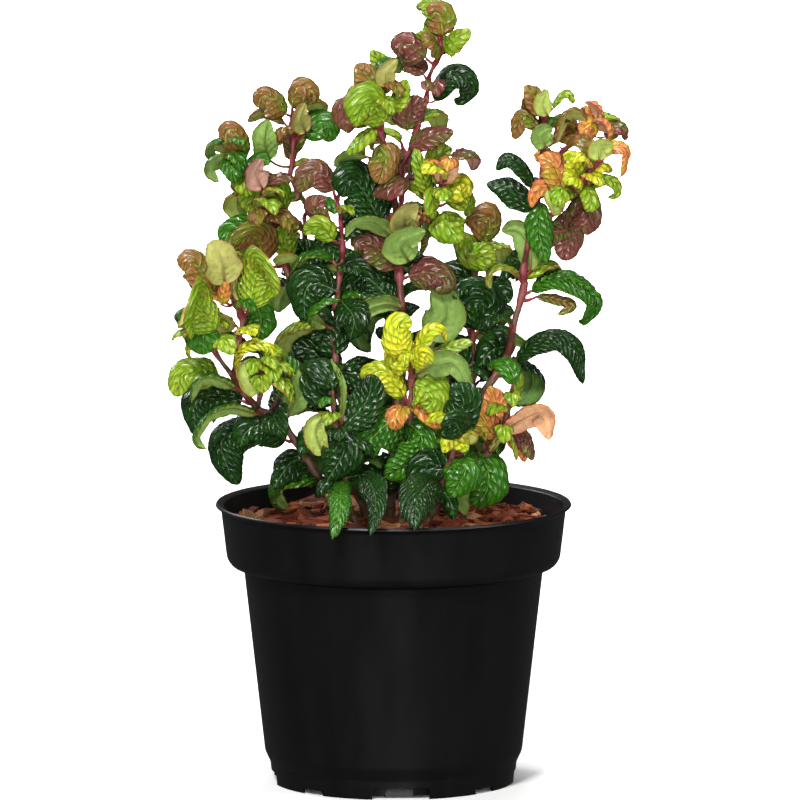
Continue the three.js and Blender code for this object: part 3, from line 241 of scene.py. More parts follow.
        (5.7, 56, "O", 4, (113, 336, 1), (118, 339, 1), (123, 336, 2), (120, 323, 1)),
        (5.4, -10, "Y", 0, (98, 324, 2), (93, 333, 4), (91, 331, 4)),
        (4.8, 20, "Y", 6, (100, 324, 1), (102, 334, 3), (106, 337, 3)),
        (5.7, -46, "Y", 5, (98, 322, 2), (93, 322, 6), (90, 319, 6)),
        (4.9, 58, "L", 0, (101, 316, 1), (110, 322, 2), (117, 320, 2), (118, 314, 2), (113, 312, 2)),
        (7.5, -20, "O", 0, (90, 317, 1), (84, 330, 3), (76, 334, 3)),
        (6.5, -53, "O", 2, (88, 311, 2), (80, 318, 3), (74, 314, 4), (73, 307, 4)),
        (4.6, 170, "L", 1, (89, 305, 3), (83, 311, 7), (81, 316, 6)),
        (6.5, -56, "D", 0, (74, 318, 1), (68, 329, 1), (60, 333, 2), (54, 327, 1)),
        (9, -46, "D", 0, (75, 307, -1), (62, 318, -3), (49, 320, -3)),
        (6.8, 5, "G", 0, (78, 310, 2), (77, 294, 5), (81, 278, 5)),
        (10.2, 10, "M", 6, (84, 299, 2), (93, 292, 6), (90, 279, 6)),
        (8.2, 35, "M", 3, (91, 295, 0), (99, 307, 0), (103, 302, 0), (102, 292, 0)),
        (7.3, -150, "G", 4, (73, 274, 3), (72, 288, 6), (65, 296, 7), (57, 295, 6)),
        (8.2, 53, "G", 0, (73, 263, 1), (83, 269, 2), (96, 267, 2), (107, 257, 2), (101, 247, 2),
            (98, 247, 2)),
        (2.7, 20, "B", 0, (76, 260, 1), (88, 258, 1), (95, 255, 2), (87, 250, 1)),
        (9, 58, "D", 0, (65, 226, 2), (75, 236, 4), (87, 239, 4), (97, 232, 5), (101, 213, 4)),
        (9.5, -10, "D", 0, (62, 234, -2), (52, 231, -6), (46, 223, -6)),
        (9.5, -20, "D", 6, (69, 279, -3), (62, 280, -7), (57, 268, -6)),
    ]},
    {"node": "right_low_shoot", "seed": 53, "axes": [
        {"points": [(15, -9, 96), (18, -11, 140), (36, -26, 163), (50, -38, 182), (60, -46, 203),
            (62, -52, 217)],
         "radius": (2.6, 1.1), "start": 0.42, "gap": 28, "long": (36, 30), "turn": 350},
    ], "picks": "G39 G0 G46",
     "seen": [
        (4.1, -56, "L", 0, (60, 199, 0), (65, 208, 0), (66, 217, 0), (58, 220, 0)),
        (6.8, 0, "O", 0, (54, 184, 2), (46, 197, 5), (40, 208, 5)),
        (6.8, -5, "O", 2, (55, 189, -1), (54, 202, -3), (51, 212, -3)),
        (9.8, 120, "O", 0, (58, 188, 2), (70, 195, 4), (79, 197, 5), (82, 183, 4)),
        (4.9, 100, "L", 0, (51, 177, 3), (58, 185, 6), (62, 183, 7), (65, 172, 6)),
        (5.4, 25, "O", 8, (60, 184, 1), (67, 183, 3), (70, 171, 3)),
        (10.9, 15, "G", 0, (45, 176, 2), (50, 167, 4), (49, 155, 5), (41, 148, 4)),
        (6, 165, "G", 2, (42, 169, 3), (35, 161, 8), (38, 143, 7)),
        (9.8, 53, "M", 4, (57, 189, -2), (69, 186, -4), (74, 172, -4)),
    ]},
    {"node": "front_shoot", "seed": 67, "axes": [
        {"points": [(2, -15, 96), (4, -17, 140), (7, -34, 179), (9, -46, 208), (10, -56, 240)],
         "radius": (2.6, 1), "start": 0.34, "gap": 34, "long": (46, 25), "turn": 240},
    ], "picks": "D-1 G1 G26",
     "seen": [
        (7.5, -10, "Y", 0, (8, 228, 2), (3, 235, 5), (3, 244, 6), (10, 245, 5)),
        (6.5, 53, "Y", 4, (11, 227, 1), (18, 240, 3), (25, 242, 3), (28, 235, 3)),
        (7.5, -15, "Y", 4, (8, 220, 3), (3, 228, 7), (0, 225, 8), (4, 217, 7)),
        (5.4, 30, "Y", 3, (10, 222, 4), (16, 229, 9), (20, 223, 8)),
        (11.5, 0, "L", 0, (11, 213, 3), (16, 211, 6), (21, 204, 7), (16, 199, 6)),
        (4.8, 30, "O", 2, (11, 203, 4), (18, 196, 10), (25, 189, 9)),
        (7.5, -30, "Y", 2, (6, 206, 1), (-3, 218, 3), (-14, 219, 3), (-14, 213, 3)),
        (7.3, 150, "G", 3, (12, 218, 1), (31, 225, 2), (41, 209, 2)),
        (6.5, 53, "L", 4, (12, 222, 1), (30, 232, 2), (42, 235, 1)),
        (11.5, -5, "G", 0, (4, 198, 2), (-3, 192, 5), (-13, 181, 6), (-10, 172, 6)),
        (12.9, 5, "G", 2, (8, 192, 4), (15, 184, 8), (11, 172, 10), (-5, 163, 8)),
        (10.9, 10, "D", 0, (2, 167, -1), (-6, 165, -3), (-15, 167, -3)),
    ]},
    {"node": "front_left_shoot", "seed": 71, "axes": [
        {"points": [(-10, -18, 96), (-12, -22, 140), (-24, -47, 168), (-30, -57, 193), (-32, -64, 215)],
         "radius": (2.5, 1), "start": 0.36, "gap": 30, "long": (48, 34), "turn": 270},
    ], "picks": "G-1 G3 D18",
     "seen": [
        (6, 165, "L", 0, (-37, 175, 2), (-42, 188, 6), (-36, 198, 6)),
        (10.2, 0, "D", 0, (-31, 184, 3), (-26, 177, 7), (-35, 161, 6)),
        (3, 115, "G", 0, (-28, 191, 2), (-27, 211, 4), (-33, 226, 4)),
        (7.8, 20, "D", 0, (-24, 163, 3), (-15, 163, 7), (-11, 149, 6)),
        (5.4, 0, "G", 0, (-25, 161, 6), (-28, 156, 24), (-28, 146, 44), (-32, 130, 53)),
        (6.6, 15, "D", 5, (-21, 161, 6), (-13, 161, 24), (-9, 149, 44), (-12, 132, 55)),
        (9.6, 5, "D", 0, (-27, 189, -2), (-14, 204, -4), (-11, 218, -4)),
        (7.8, -15, "D", 2, (-31, 180, -2), (-43, 183, -6), (-50, 175, -6)),
        (8.4, 0, "D", 0, (-31, 203, -2), (-40, 211, -4), (-38, 225, -4)),
    ]},
    {"node": "front_right_shoot", "seed": 83, "axes": [
        {"points": [(12, -22, 96), (14, -27, 140), (24, -50, 164), (31, -60, 184), (33, -66, 202)],
         "radius": (2.4, 1), "start": 0.38, "gap": 30, "long": (44, 32), "turn": 300},
    ], "picks": "D-1 D-1 D82",
     "seen": [
        (10.2, 0, "D", 0, (27, 167, 2), (17, 166, 4), (11, 154, 4)),
        (10.2, -5, "D", 3, (23, 161, 6), (18, 159, 22), (12, 150, 40), (11, 135, 49)),
        (4.1, 20, "D", 0, (25, 157, 3), (30, 150, 8), (32, 140, 7)),
        (5.7, -46, "Y", 0, (40, 178, 2), (31, 184, 6), (26, 176, 6)),
        (8.8, -15, "D", 7, (36, 185, -1), (32, 192, -2), (26, 188, -1)),
        (9.5, 10, "D", 3, (31, 189, -2), (37, 203, -5), (31, 213, -5)),
        (9.5, 20, "G", 1, (30, 171, 1), (38, 167, 3), (30, 152, 3)),
    ]},
    {"node": "inner_left_shoot", "seed": 97, "axes": [
        {"points": [(-9, -4, 96), (-11, -6, 140), (-24, -8, 189), (-31, -6, 229), (-30, -4, 260),
            (-27, -3, 284), (-28, -2, 300), (-30, -2, 312)],
         "radius": (2.7, 1), "start": 0.34, "gap": 34, "long": (46, 34), "turn": 210},
    ], "picks": "D-1 D5 L27 G32 L1",
     "seen": [
        (7.9, -35, "M", 0, (-32, 317, 2), (-40, 327, 4), (-46, 325, 5), (-51, 316, 4)),
        (7.1, 51, "M", 0, (-35, 299, 2), (-42, 307, 4), (-37, 314, 4)),
        (6.8, 25, "L", 0, (-32, 290, 2), (-40, 297, 5), (-48, 294, 5)),
        (10.9, -10, "D", 0, (-30, 263, 2), (-41, 267, 4), (-47, 262, 5), (-47, 247, 4)),
        (4.9, 100, "G", 1, (-36, 244, 3), (-44, 249, 7), (-38, 256, 8), (-27, 258, 7)),
        (9, 4, "D", 0, (-27, 285, -2), (-33, 287, -4), (-39, 278, -4)),
        (10.2, 5, "D", 2, (-31, 228, 2), (-35, 239, 4), (-44, 238, 4)),
        (10.2, 10, "D", 20, (-28, 258, 2), (-20, 247, 4), (-22, 234, 4)),
        (9.5, 0, "D", 2, (-32, 216, -2), (-42, 230, -4), (-54, 234, -4)),
        (10.9, 10, "D", 0, (-28, 220, 2), (-12, 216, 4), (-6, 200, 4)),
        (8.8, 0, "D", 21, (-28, 279, -2), (-22, 285, -6), (-12, 278, -6)),
    ]},
    {"node": "inner_right_shoot", "seed": 101, "axes": [
        {"points": [(17, 8, 96), (20, 9, 140), (32, 10, 185), (41, 6, 223), (42, 10, 252),
            (44, 12, 278)],
         "radius": (2.7, 1), "start": 0.34, "gap": 34, "long": (44, 34), "turn": 320},
    ], "picks": "D101 D13 G8 L1",
     "seen": [
        (12.2, -15, "D", 0, (45, 242, 2), (48, 256, 4), (42, 258, 5), (36, 250, 4)),
        (5.7, 115, "G", 8, (42, 240, 3), (59, 240, 8), (74, 233, 7)),
        (8.2, -30, "B", 0, (47, 289, 2), (51, 302, 4), (44, 301, 5), (44, 296, 4)),
        (9.5, -15, "L", 0, (45, 284, 2), (40, 290, 5), (43, 283, 6), (55, 279, 6)),
        (8.8, 5, "D", 0, (43, 220, -2), (51, 224, -4), (58, 219, -4)),
        (9.5, 0, "D", 0, (40, 223, 2), (31, 230, 4), (22, 224, 4)),
        (8.8, 10, "D", 0, (43, 266, -2), (32, 272, -6), (23, 265, -6)),
        (9.5, -5, "D", 0, (41, 207, -2), (34, 204, -4), (27, 192, -4)),
        (8.8, 10, "D", 0, (43, 258, -2), (57, 263, -4), (62, 257, -4)),
    ]},
    {"node": "back_left_shoot", "seed": 113, "axes": [
        {"points": [(-9, 16, 96), (-12, 20, 140), (-30, 40, 190), (-42, 56, 238), (-47, 64, 272),
            (-48, 68, 296)],
         "radius": (2.9, 1), "start": 0.3, "gap": 11.5, "long": (46, 30), "turn": 120},
    ], "picks": "D12 G38 D0 D0 D3 D0 D0 D0 G0 D0 L0 B0 G0",
     "seen": []},
    {"node": "back_shoot", "seed": 127, "axes": [
        {"points": [(4, 18, 96), (5, 22, 140), (5, 40, 200), (2, 54, 258), (4, 62, 300), (6, 66, 332)],
         "radius": (3, 1), "start": 0.3, "gap": 11.5, "long": (46, 28), "turn": 80},
    ], "picks": "D42 D76 G3 D2 D7 D0 D8 G5 D0 L6 B1 B0 M7 G1 L4",
     "seen": [
        (7.5, 0, "D", 0, (10, 177, -8), (15, 190, -36), (20, 184, -64), (22, 167, -78)),
    ]},
    {"node": "back_right_shoot", "seed": 131, "axes": [
        {"points": [(14, 16, 96), (18, 20, 140), (36, 38, 186), (46, 52, 224), (50, 61, 254),
            (51, 66, 274)],
         "radius": (2.9, 1), "start": 0.3, "gap": 11.5, "long": (44, 30), "turn": 40},
    ], "picks": "D12 G10 G12 D18 G5 D0 L4 D0 D0 G0 D0 G0",
     "seen": []},
]
layout = {"ribSteps": 20, "viewSlope": 0.15, "goldenTurn": 137.5}
viewer = np.array([0.0, -0.989, 0.148])  # towards the camera


def draws(seed):
    # A repeatable run of random numbers from 0 to 1.
    state = (seed * 7919 + 13) % 4294967296

    def draw():
        nonlocal state
        state = (state * 1664525 + 1013904223) % 4294967296
        return state / 4294967296
    return draw


def mix(a, b, t):
    return a + (b - a) * t


def unit(v):
    return v / np.linalg.norm(v)


def onCurve(a, b, c, d, t):
    # The place at a share t of the way from b to c, on a smooth curve through all four.
    return 0.5 * (2 * b + (c - a) * t + (2 * a - 5 * b + 4 * c - d) * t * t
                  + (3 * b - a - 3 * c + d) * t ** 3)


def smoothLine(points, steps):
    # A smooth line through the points, with some steps in each span.
    points = [np.array(p, dtype=float) for p in points]
    line = []
    for i in range(len(points) - 1):
        b, c = points[i], points[i + 1]
        a = points[i - 1] if i > 0 else 2 * b - c
        d = points[i + 2] if i + 2 < len(points) else 2 * c - b
        line += [onCurve(a, b, c, d, k / steps) for k in range(steps)]
    return np.array(line + [points[-1]])


def divided(points, steps):
    # The points of a line with each of its spans cut into equal steps.
    points = np.array(points, dtype=float)
    line = [points[i] + (points[i + 1] - points[i]) * k / steps
            for i in range(len(points) - 1) for k in range(steps)]
    return np.array(line + [points[-1]])


def lengthsAlong(line):
    return np.concatenate([[0.0], np.cumsum(np.linalg.norm(np.diff(line, axis=0), axis=1))])


def placeOn(line, along, at):
    # The place and the direction at a length along a line.
    i = 1
    while i < len(line) - 1 and along[i] < at:
        i += 1
    step = line[i] - line[i - 1]
    t = min(1.0, (at - along[i - 1]) / (along[i] - along[i - 1]))
    return line[i - 1] + step * t, unit(step)


def grownFrames(leaf):
    # Frames along a leaf that grows by rule: it hooks over and down, bends to one side and twists.
    upward = unit(np.array([0, 0, 0.45]) + 0.55 * leaf["direction"])
    seen = unit(np.array([1.0, 0, 0]) - upward * upward[0])
    turn = math.radians(leaf["turn"])
    out = math.cos(turn) * seen + math.sin(turn) * np.cross(upward, seen)
    side = np.cross(upward, out)

    def frameAt(s):
        lift = math.radians(leaf["lift"] - leaf["curl"] * (leaf["hook"] * s + (1 - leaf["hook"]) * s * s))
        bend = math.radians(leaf["bend"] * s * s)
        twist = math.radians(leaf["twist"] * s)
        ahead = math.cos(bend) * out + math.sin(bend) * side
        aside = math.cos(bend) * side - math.sin(bend) * out
        forward = math.cos(lift) * ahead + math.sin(lift) * upward
        above = math.cos(lift) * upward - math.sin(lift) * ahead
        return forward, math.cos(twist) * aside + math.sin(twist) * above, \
            math.cos(twist) * above - math.sin(twist) * aside

    steps = layout["ribSteps"]
    place = leaf["point"] + frameAt(0)[0] * leaf["stalk"]
    frames = []
    for k in range(steps + 1):
        if k > 0:
            place = place + frameAt((k - 0.5) / steps)[0] * (leaf["long"] / steps)
        frames.append((place,) + frameAt(k / steps))
    return [np.array([f[i] for f in frames]) for i in range(4)]


def seenFrames(line, face):
    # Frames along a leaf that is set out as seen from the front. Its face is the turn of the upper side
    # away from the viewer about the midrib, taken at a third of its length and carried along from there.
    steps = layout["ribSteps"]
    rough = smoothLine(line, 8)
    along = lengthsAlong(rough)
    places = np.array([placeOn(rough, along, along[-1] * k / steps)[0] for k in range(steps + 1)])
    forward = np.array([unit(places[min(steps, k + 1)] - places[max(0, k - 1)]) for k in range(steps + 1)])
    start = round(steps / 3)
    facing = unit(viewer - forward[start] * viewer.dot(forward[start]))
    left = np.cross(viewer, forward[start])
    aside = unit(left - forward[start] * left.dot(forward[start]))
    turn = math.radians(face)
    normals = [None] * (steps + 1)
    normals[start] = facing * math.cos(turn) + aside * math.sin(turn)
    for k in range(start + 1, steps + 1):
        normals[k] = unit(normals[k - 1] - forward[k] * normals[k - 1].dot(forward[k]))
    for k in range(start - 1, -1, -1):
        normals[k] = unit(normals[k + 1] - forward[k] * normals[k + 1].dot(forward[k]))
    normals = np.array(normals)
    return [places, forward, np.cross(normals, forward), normals]


def marginReach(fold, roll):
    # How far aside of the midrib the margin stands, as a share of the blade's half width laid flat.
    fold, roll = math.radians(fold), math.radians(roll)
    return (math.sin(fold) - math.sin(fold - roll)) / roll


def seenLeaves(shoot):
    # The leaves of a shoot that are set out as seen, each with the change that keeps it clear.
    changes = [(toward, size) for size in (1, 0.88, 0.76, 0.64)
               for toward in (0, 4, -4, 8, -8, 12, -12, 17, -17, 23, -23)]
    stem = np.concatenate([divided(axis["points"], 6) for axis in shoot["axes"]])
    draw = draws(shoot["seed"] + 500)
    made = []
    for half, face, tone, change, *marks in shoot["seen"]:
        x, z, _ = marks[0]
        across = stem[:, 0] - x
        up = stem[:, 2] + layout["viewSlope"] * stem[:, 1] - z + 2
        point = stem[int(np.argmin(across ** 2 + up ** 2 * np.where(up > 0, 3, 1)))]
        bent = drawn(draw, seenRanges)
        toward, size = changes[change]
        line = []
        for i, mark in enumerate(marks):
            share = 0.3 if i == 0 else min(1.0, 2 * i / (len(marks) - 1))
            y = point[1] - (mark[2] + toward * share)
            height = mix(z, mark[1], size) - layout["viewSlope"] * y
            line.append([mix(x, mark[0], size), y, height])
        line = np.array(line)
        made.append({"point": point, **bent, "tone": tone, "seen": True, "long": lengthsAlong(line)[-1],
                     "half": half / marginReach(**bent) * size, "frames": seenFrames(line, face)})
    return made


# What is drawn for each leaf, in this order: shares of its size, mm of petiole and angles in degrees. Fold
# and roll are of the blade's halves, and the other angles of its midrib. Lifts go from low to high leaves.
seenRanges = {"fold": (12, 30), "roll": (55, 95)}
grownRanges = {"size": (0.88, 1.12), "half": (0.25, 0.31), "petiole": (3.6, 5.4), "turn": (-12, 12),
               "sway": (-10, 10), "curl": (130, 230), "hook": (0.5, 1.4), "bend": (-30, 30),
               "twist": (-40, 40), "fold": (10, 30), "roll": (55, 95)}
tipRanges = {"size": (0.85, 1.15), "half": (0.3, 0.36), "tone": (0, 1), "petiole": (2.2, 3.7),
             "curl": (110, 190), "hook": (0.4, 1.2), "bend": (-25, 25), "twist": (-30, 30), "fold": (12, 30),
             "roll": (50, 90)}
lifts = {"grown": (42, 68), "tip": (48, 72)}


def drawn(draw, ranges):
    return {key: mix(*ends, draw()) for key, ends in ranges.items()}


def sprouted(draw, ranges, axis, line, along, at, long):
    # A leaf that grows from a length along a stem, with what is drawn for it.
    point, direction = placeOn(line, along, at)
    leaf = {"point": point, "direction": direction, "seen": False, **drawn(draw, ranges)}
    leaf["long"] = long * leaf["size"]
    leaf["half"] *= leaf["long"]
    leaf["stalk"] = mix(*axis["radius"], at / along[-1]) + leaf["petiole"]
    return leaf


def grownLeaves(shoot):
    # The leaves of a shoot that grow by rule, low to high, each a golden turn from the one below it.
    changes = [(turn, lift, size) for size in (1, 0.84, 0.7) for lift in (0, 18, -18, 34)
               for turn in (0, 22, -22, 44, -44, 66, -66, 95, -95, 130, -130, 180)]
    draw = draws(shoot["seed"])
    picks = iter(shoot["picks"].split())
    made = []
    for axis in shoot["axes"]:
        line = np.array(axis["points"], dtype=float)
        along = lengthsAlong(line)
        full = along[-1]
        first = full * axis["start"]
        count = int((full - first) // axis["gap"]) + 1
        for i in range(count):
            share = i / (count - 1) if count > 1 else 1.0
            at = mix(first, full - 1.5, share)
            leaf = sprouted(draw, grownRanges, axis, line, along, at, mix(*axis["long"], share))
            pick = next(picks)
            leaf["tone"], change = pick[0], int(pick[1:])
            if change < 0:
                continue
            turn, lift, size = changes[change]
            leaf["turn"] += axis["turn"] + layout["goldenTurn"] * i + turn
            leaf["lift"] = mix(*lifts["grown"], share) + leaf["sway"] + lift
            leaf["long"] *= size
            leaf["half"] *= size
            leaf["frames"] = grownFrames(leaf)
            made.append(leaf)
    return made


# The lists of tones are for below, between and above the two heights.
tipLeaves = {"count": 6, "from": 0.5, "long": (25, 15), "near": 26, "heights": (215, 265),
             "tones": ("DGDG", "GDGLG", "LBGLBM")}


def crowdedLeaves(shoot, others):
    # Small young leaves between the others, closer together towards the tip of each stem. Each turns to the
    # side with the most room, and is coloured like the nearest leaf of its shoot.
    draw = draws(shoot["seed"] + 900)
    taken = np.concatenate([leaf["frames"][0][4::3] for leaf in others])
    made = []
    for axis in shoot["axes"]:
        line = np.array(axis["points"], dtype=float)
        along = lengthsAlong(line)
        for i in range(tipLeaves["count"]):
            share = (i + 0.5) / tipLeaves["count"]
            at = along[-1] * mix(tipLeaves["from"], 0.98, share ** 0.8)
            leaf = sprouted(draw, tipRanges, axis, line, along, at, mix(*tipLeaves["long"], share))
            leaf["lift"] = mix(*lifts["tip"], share)
            height = leaf["point"][2]
            tones = tipLeaves["tones"][sum(height >= limit for limit in tipLeaves["heights"])]
            leaf["tone"] = tones[int(leaf["tone"] * len(tones))]
            apart = [np.linalg.norm(other["frames"][0][8] - leaf["point"]) for other in others]
            if min(apart) < tipLeaves["near"]:
                leaf["tone"] = others[int(np.argmin(apart))]["tone"]
            most = -1.0
            for turn in range(0, 360, 40):
                frames = grownFrames(dict(leaf, turn=axis["turn"] + layout["goldenTurn"] * i + turn))
                ends = frames[0][8::6]
                room = np.min(np.linalg.norm(ends[:, None] - taken[None], axis=2))
                if room > most:
                    most, best = room, dict(leaf, frames=frames)
            taken = np.concatenate([taken, best["frames"][0][4::3]])
            made.append(best)
    return made


# The shades of a leaf by its tone: valley between the puckers, their tops, margin, veins and underside.
toneColours = {
    "D": {"valley": "#0a2304", "top": "#183e0a", "margin": "#2c4a14", "vein": "#4c7040", "under": "#587834"},
    "G": {"valley": "#205406", "top": "#366c10", "margin": "#66681e", "vein": "#6a9232", "under": "#769244"},
    "L": {"valley": "#5a8a0a", "top": "#8a9824", "margin": "#a05e30", "vein": "#a0bc3a", "under": "#98a850"},
    "Y": {"valley": "#86a80c", "top": "#c8bc22", "margin": "#c47044", "vein": "#d8dc50", "under": "#b8c05c"},
    "O": {"valley": "#a8a81c", "top": "#c4703e", "margin": "#cc6258", "vein": "#dcc04c", "under": "#cc9c74"},
    "B": {"valley": "#4e7c0c", "top": "#7c5228", "margin": "#8c3c2c", "vein": "#88a438", "under": "#9a9850"},
    "M": {"valley": "#4c6a14", "top": "#68342f", "margin": "#84303c", "vein": "#765840", "under": "#a88070"},
}

# Grids are columns and rows for a leaf shorter than the first of the lengths, between the two, and longer.
blade = {"thickness": 0.42, "broader": 1.07, "groove": 0.45, "grooveHalf": 0.9, "tooth": 0.16, "span": 0.996,
         "pucker": 1.25, "veinSpacing": 3.9, "cellWidth": 2.5, "dome": 0.7, "ridge": 0.3, "margin": 0.85,
         "lengths": (22, 34), "seenGrids": ((16, 20), (22, 28), (26, 34)),
         "grownGrids": ((12, 16), (16, 20), (20, 26))}
templates = {}


def bladeTemplate(columns, rows):
    # A flat blade from -1 to 1, closed with a lower side, as arrays of across, along and upper.
    key = ("blade", columns, rows)
    if key not in templates:
        bm = bmesh.new()
        bmesh.ops.create_grid(bm, x_segments=columns, y_segments=rows, size=1)
        bmesh.ops.recalc_face_normals(bm, faces=bm.faces[:])
        bmesh.ops.solidify(bm, geom=bm.faces[:], thickness=0.01)
        bmesh.ops.recalc_face_normals(bm, faces=bm.faces[:])
        heights = [v.co.z for v in bm.verts]
        middle = (min(heights) + max(heights)) / 2
        for face in bm.faces:
            face.smooth = True
            face.material_index = 1 if face.normal.z < -0.5 else 0
        mesh, co = newTemplate("bladeTemplate", bm)
        templates[key] = mesh, co[:, 0].copy(), (co[:, 1] + 1) / 2, co[:, 2] > middle
    return templates[key]


def drumTemplate(sides, rings, slot):
    # A closed drum whose rings stand at the heights 0, 1, 2 and so on.
    key = ("drum", sides, rings, slot)
    if key not in templates:
        bm = bmesh.new()
        bmesh.ops.create_circle(bm, cap_ends=True, segments=sides, radius=1)
        cap = bm.faces[:]
        for _ in range(rings - 1):
            made = bmesh.ops.extrude_face_region(bm, geom=cap)["geom"]
            cap = [g for g in made if isinstance(g, bmesh.types.BMFace)]
            verts = [g for g in made if isinstance(g, bmesh.types.BMVert)]
            bmesh.ops.translate(bm, vec=(0, 0, 1), verts=verts)
        bmesh.ops.recalc_face_normals(bm, faces=bm.faces[:])
        for face in bm.faces:
            face.smooth = True
            face.material_index = slot
        mesh, co = newTemplate("drumTemplate", bm)
        templates[key] = mesh, np.rint(co[:, 2]).astype(int), np.arctan2(co[:, 1], co[:, 0])
    return templates[key]


def scatter(*numbers):
    # An even random share from 0 to 1 out of arrays of whole numbers.
    mixed = sum(n * k for n, k in zip(numbers, (127.1, 311.7, 74.7, 53.9)))
    return np.mod(np.abs(np.sin(mixed) * 43758.5453), 1.0)


def softStep(low, high, value):
    t = np.clip((value - low) / (high - low), 0, 1)
    return t * t * (3 - 2 * t)


def blended(rows, s):
    # Rows along a leaf read at shares of its length, on a smooth curve.
    at = s * (len(rows) - 1)
    i = np.clip(at.astype(int), 0, len(rows) - 2)
    t = (at - i)[:, None]
    a, b = rows[np.maximum(i - 1, 0)], rows[i]
    return onCurve(a, b, rows[i + 1], rows[np.minimum(i + 2, len(rows) - 1)], t)


def units(rows):
    return rows / np.linalg.norm(rows, axis=1)[:, None]


class Parts:
    # Copies of templates gathered into one mesh, with their places and attributes.
    def __init__(self):
        self.bm = bmesh.new()
        self.co, self.tint, self.veinTint, self.weave = [], [], [], []

    def add(self, mesh, co, tint, veinTint, weave):
        self.bm.from_mesh(mesh)
        self.co.append(co * mm)
        self.tint.append(tint)
        self.veinTint.append(veinTint)
        self.weave.append(weave)

    def finish(self, name, materials):
        mesh = newMesh(name, self.bm)
        mesh.vertices.foreach_set("co", np.concatenate(self.co).ravel())
        for label, kind, field, rows in (("tint", "FLOAT_COLOR", "color", self.tint),
                                         ("veinTint", "FLOAT_COLOR", "color", self.veinTint),
                                         ("weave", "FLOAT_VECTOR", "vector", self.weave)):
            mesh.attributes.new(label, kind, "POINT").data.foreach_set(field, np.concatenate(rows).ravel())
        for material in materials:
            mesh.materials.append(material)
        mesh.update()
        return newObject(name, mesh)


def colourRows(hexColour, count):
    return np.tile(np.array(linear(hexColour)), (count, 1))


def bladeWidth(s):
    # A share of the half width, widest before the middle.
    return 2.236 * np.power(s, 0.5) * np.power(1 - s, 0.68)


def addLeaf(parts, leaf, number):
    # A leaf blade with puckers between its side veins, and its stalk and midrib. Along the blade s goes from
    # 0 to 1, and across it u goes from -1 to 1.
    tone = toneColours[leaf["tone"]]
    long, half = leaf["long"], leaf["half"]
    grids = blade["seenGrids" if leaf["seen"] else "grownGrids"]
    columns, rows = grids[sum(long >= limit for limit in blade["lengths"])]
    mesh, u, t, upper = bladeTemplate(columns, rows)
    s = mix(1 - blade["span"], blade["span"], t - 0.35 * np.sin(2 * math.pi * t) / (2 * math.pi))
    places, _, sides, normals = leaf["frames"]
    place, side, normal = blended(places, s), units(blended(sides, s)), units(blended(normals, s))
    out = np.abs(u)
    hand = np.sign(u)
    fold, roll = math.radians(leaf["fold"]), math.radians(leaf["roll"])
    angle = fold - roll * out
    row = np.rint(t * rows)
    width = blade["broader"] * half * bladeWidth(s) * (1 + 0.05 * np.sin(s * 19 + number) * out)
    width += blade["tooth"] * (out > 0.99) * np.where(row % 2 == 0, 1, -1)
    aside = (math.sin(fold) - np.sin(angle)) / roll * width
    above = (np.cos(angle) - math.cos(fold)) / roll * width
    # puckers between side veins that arch towards the tip
    count = max(4, round(long / blade["veinSpacing"]))
    across = count * (s * 1.04 - 0.17 * out - 0.08 * out ** 2) + np.where(u < 0, 0.5, 0) + scatter(number)
    band = np.floor(across)
    cell = width / blade["cellWidth"] * out + 0.5 * band
    domes = [np.abs(np.sin(math.pi * phase)) ** blade["dome"] for phase in (across, cell)]
    pillow = domes[0] * mix(blade["ridge"], 1, domes[1])
    pillow = pillow * (0.65 + 0.7 * scatter(band, np.floor(cell), np.where(u < 0, 1, 2), number))
    # none at the margin, the midrib or the two ends
    pillow = pillow * (1 - out ** 8) * softStep(0, 0.1, out) * softStep(0, 0.08, s) * softStep(0, 0.05, 1 - s)
    strength = blade["pucker"] * min(1.25, 0.35 + 0.65 * long / 36) * (0.8 if leaf["tone"] == "D" else 1.0)
    lift = strength * pillow - blade["groove"] * np.exp(-(out * width / blade["grooveHalf"]) ** 2)
    lift = lift + 0.9 * half / 12 * np.sin(s * 9 + 1.7 * number) * out ** 2
    lift = lift + np.where(upper, 0.5, -0.5) * blade["thickness"]
    local = normal * np.cos(angle)[:, None] - side * (hand * np.sin(angle))[:, None]
    co = place + normal * above[:, None] + side * (hand * aside)[:, None] + local * lift[:, None]
    # colours: blush over the puckers, in patches, and a thin margin
    patch = 0.5 + 0.5 * np.sin(s * 5.1 + 2.3 * number) * np.cos(u * 2.2 + 1.3 * number)
    blush = np.clip(pillow * 1.25 * (0.35 + 0.9 * patch), 0, 1)
    if leaf["tone"] in "MBO":
        blush = np.clip(blush + 0.55 * patch + 0.25 * s, 0, 1)
    valley, top = (colourRows(tone[key], len(u)) for key in ("valley", "top"))
    upperTint = valley + (top - valley) * blush[:, None]
    upperTint[:, :3] *= 0.88 + 0.24 * scatter(number + 7.0)
    underTint = colourRows(tone["under"], len(u))
    tint = np.where(upper[:, None], upperTint, underTint)
    edge = softStep(0.93, 1.0, out)[:, None]
    tint = tint + (colourRows(tone["margin"], len(u)) - tint) * edge * blade["margin"]
    weave = np.stack([u * width, s * long + 61.0 * number, across], axis=1)
    parts.add(mesh, co, tint, colourRows(tone["vein"], len(u)), weave)
    addStalk(parts, leaf, number, tone)


# The first rings are the bare stalk, and the others the midrib that it carries on as under the blade.
stalk = {"sides": 7, "rings": 17, "bare": 5, "bareRadius": (1.2825, 0.8075), "ribRadius": (0.76, 0.209),
         "sag": 0.12, "warm": "#8c2e3a", "cool": "#7c4834"}


